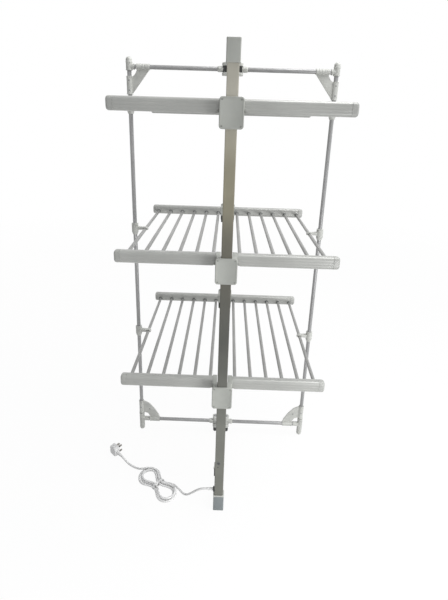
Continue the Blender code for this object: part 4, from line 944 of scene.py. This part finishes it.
def hook():
    """The collar and the arm with its saddle, about the header's middle height."""
    collar = [(-0.025, 0.0078), (-0.0246, 0.0086), (-0.017, 0.0112), (-0.0155, 0.0118), (0.0130, 0.0118),
              (0.0136, 0.0112), (0.0142, 0.0112), (0.0148, 0.0118), (0.0154, 0.0118), (0.016, 0.0108),
              (0.016, 0.0078)]
    over = np.radians(np.linspace(0, 180, 17))
    saddle = np.stack((LAST_ROD + SADDLE * np.cos(over), -ROD_DROP + SADDLE * np.sin(over)), -1)
    outside = np.radians(np.linspace(180, 90, 9))
    cheek = np.stack((LAST_ROD + CHEEK * np.cos(outside), -ROD_DROP + CHEEK_TOP * np.sin(outside)), -1)
    arm = np.array([*cheek, (0.308, 0.0022), (0.318, 0.0030), (0.330, 0.0050), (0.330, -0.0085),
                    (0.318, -0.0072), (0.308, -0.0068), (LAST_ROD + SADDLE, CHEEK_END), *saddle,
                    (LAST_ROD - SADDLE, CHEEK_END), (LAST_ROD - CHEEK, CHEEK_END)])
    return [turned("z", collar, (UPRIGHT_LINE, 0)), plate("y", arm, -0.007, 0.007, 0.0006)]


hook_shells = hook()
for side, x in SIDES.items():
    body = f"{side}_side_frame"
    made = {
        "upright_tube": (upright, tube_paint, ("upright",), "tube"),
        "rail_low_tube": (rail(RAIL_LOW), tube_paint, ("rail_low",), "tube"),
        "rail_high_tube": (rail(RAIL_HIGH), tube_paint, ("rail_high",), "tube"),
        "rail_low_eye": (eye(RAIL_LOW), pale_nylon, (), "fitting"),
        "rail_high_eye": (eye(RAIL_HIGH), black_plastic, (), "black"),
        "rail_low_collar": (rail_collar(RAIL_LOW), pale_nylon, (), "fitting"),
        "rail_high_collar": (rail_collar(RAIL_HIGH), pale_nylon, (), "fitting"),
        "tee_high_cup": (high_tee(), pale_nylon, ("tee_high",), "fitting"),
        "tee_low_cup": (low_tee(), pale_nylon, ("tee_low",), "fitting"),
        "gusset_high_corner": (high_gusset, pale_nylon, ("gusset_high",), "fitting"),
        "gusset_low_corner": (low_gusset, pale_nylon, ("gusset_low",), "fitting"),
        "gusset_screws": (gusset_screws, screw_zinc, (), None),
        "gusset_screw_recess_shade": (gusset_recess_shades, black_plastic, (), "black"),
    }
    for name, (shells, material, nodes, slot) in made.items():
        piece(f"{side}_{name}", mirrored(shells, x), material, body, [f"{side}_{n}" for n in nodes])
    for tier, height in TIERS.items():
        piece(f"{side}_hook_{tier}_collar", mirrored(hook_shells, x, 1, height), pale_nylon, body,
              (f"{side}_hook_{tier}",))
print("side frames", len(SIDES), "with", len(made), "pieces and", len(TIERS), "hooks each")

# %% [markdown]
# ## Hubs
# A hub is a block round the beam with an upper and a lower plate, and the side frames' pins between them.
# The low hub stands on two black rounded feet. A washer and a screw head close each pin.

# %% Hubs
HUB_WIDTH, HUB_DEPTH, HIGH_THICK, LOW_THICK = 0.068, 0.024, 0.0097, 0.0165


def hub(height, thick):
    """The plates, the block round the beam and the two pins."""
    inner = EYE_HALF + GAP
    outline = rounded(HUB_WIDTH, HUB_DEPTH, 0.0095, (0, 0), 8)
    low, high = height - inner, height + inner
    shells = [plate("z", outline, *limits, 0.0016) for limits in ((low - thick, low), (high, high + thick))]
    shells.append(brick((-0.0138, 0.0138), (-0.0118, 0.0118), (low - 0.002, high + 0.002)))
    return shells + [round_bar("z", low - 0.001, high + 0.001, 0.004, (x * EYE_X, 0), 0.0002, 20)
                     for x in (-1, 1)]


def hub_screws(height, thick):
    """A washer with a pan head on it over each pin, on top of the upper plate."""
    top = height + EYE_HALF + GAP + thick
    return [shell for x in (-1, 1) for shell in (
        round_bar("z", top - 0.0006, top + 0.0006, 0.0050, (x * EYE_X, 0), 0.0002, 24),
        screw_head("z", top + 0.0005, (x * EYE_X, 0), 0.0032, 0.0016, way=1))]


hub_foot = [(0.0, 0.0040), (0.0008, 0.0058), (0.0024, 0.0071), (0.0050, 0.0078), (0.0090, 0.0079),
            (0.0150, 0.0075), (0.0200, 0.0078), (0.0238, 0.0082)]
feet = [turned("z", hub_foot, (x * EYE_X, 0), 28) for x in (-1, 1)]
piece("hub_high_plates", hub(RAIL_HIGH, HIGH_THICK), pale_nylon, "frame", ("hub_high",))
piece("hub_low_plates", hub(RAIL_LOW, LOW_THICK), pale_nylon, "frame", ("hub_low",))
piece("hub_low_feet", feet, black_plastic, "frame", ())
piece("hub_screws", hub_screws(RAIL_HIGH, HIGH_THICK) + hub_screws(RAIL_LOW, LOW_THICK), screw_zinc,
      "frame")
print("hubs at", RAIL_LOW, "and", RAIL_HIGH, "m")

# %% [markdown]
# ## Switch, lamp and screw holes
# The rocker switch is in the left wall of the front post, in a bezel that stands just proud. The rocker
# keeps its CAD tilt; its face is a shallow hollow. Above it, on the front face, is a small smoky lamp with
# no marking. Each post has two screw holes in its inner face, level with the high hub and below it; black
# discs on the face paint the shade inside them.

# %% Switch, lamp and screw holes
ROCKER_X, ROCKER_Z, ROCKER_TILT = -0.0125, 0.163, math.radians(-7)


def bezel():
    """A frame on the post's left wall: an outer and an inner outline joined by a soft rim."""
    outer = rounded(0.0165, 0.0310, 0.0030, (-POST_LINE, ROCKER_Z - 0.003), 5)
    inner = rounded(0.0110, 0.0222, 0.0012, (-POST_LINE, ROCKER_Z), 5)
    steps = [(-0.0146, outer), (-0.0172, outer), (-0.0178, inset(outer, 0.0007)),
             (-0.0178, inset(inner, -0.0006)), (-0.0172, inner), (-0.0146, inner)]
    return hoop(np.stack([across("x", x, *flat.T) for x, flat in steps]))


def rocker():
    """The rocker across its axis: a hollow outer face, z from end to end and x = dish (1 - (z / end)^2)."""
    z = np.linspace(0.0100, -0.0100, 13)
    face = np.stack((-0.0052 + 0.0017 * (1 - (z / 0.0100) ** 2), z), -1)
    outline = np.concatenate((face, [(0.0030, -0.0080), (0.0030, 0.0080)]))
    c, s = math.cos(ROCKER_TILT), math.sin(ROCKER_TILT)
    tilted = np.stack((ROCKER_X + outline[:, 0] * c + outline[:, 1] * s,
                       ROCKER_Z - outline[:, 0] * s + outline[:, 1] * c), -1)
    return plate("y", tilted, -POST_LINE - 0.005, -POST_LINE + 0.005, 0.0005)


piece("switch_bezel", [bezel()], black_plastic, "frame", ())
blank = plate("x", rounded(0.0165, 0.0135, 0.0025, (-POST_LINE, 0.1833), 5), -0.0172, -0.0146, 0.0006)
piece("switch_blank_plate", [blank], plate_plastic, "frame", ())
piece("switch_rocker_cap", [rocker()], black_plastic, "switch_rocker", ("switch_rocker",), 30)

LAMP, LAMP_LINE = (-0.0035, 0.2015), -0.3750
ring = [(-0.3745, 0.0040), (-0.3745, 0.0068), (-0.3757, 0.0068), (-0.3761, 0.0063), (-0.3761, 0.0048),
        (-0.3757, 0.0040)]
piece("lamp_bezel", [turned("y", ring, LAMP, 32, True)], collar_plastic_and_painted_shade, "frame", ())
piece("lamp_lens", [screw_head("y", LAMP_LINE, LAMP, 0.0043, 0.0009)], lamp_lens, "frame", ())
post_pin = screw_head("y", LAMP_LINE, (-0.0052, 0.1847), 0.0018, 0.0006)
piece("post_pin", [post_pin], black_plastic, "frame", ())

# Black discs that paint the shade inside the posts' screw holes.
HOLE_X, HOLE_RADIUS, HOLE_THICK = -0.0108, 0.0026, 0.0010
holes = [round_bar("y", y, y + HOLE_THICK, HOLE_RADIUS, (HOLE_X, z), 0.0002, 20)
         for y, z in ((0.3546, 1.378), (0.3516, 1.430))]
piece("rear_post_screw_hole_shades", holes, black_plastic, "frame", ())
piece("front_post_screw_hole_shades", mirrored(holes, 1, -1), black_plastic, "frame", ())
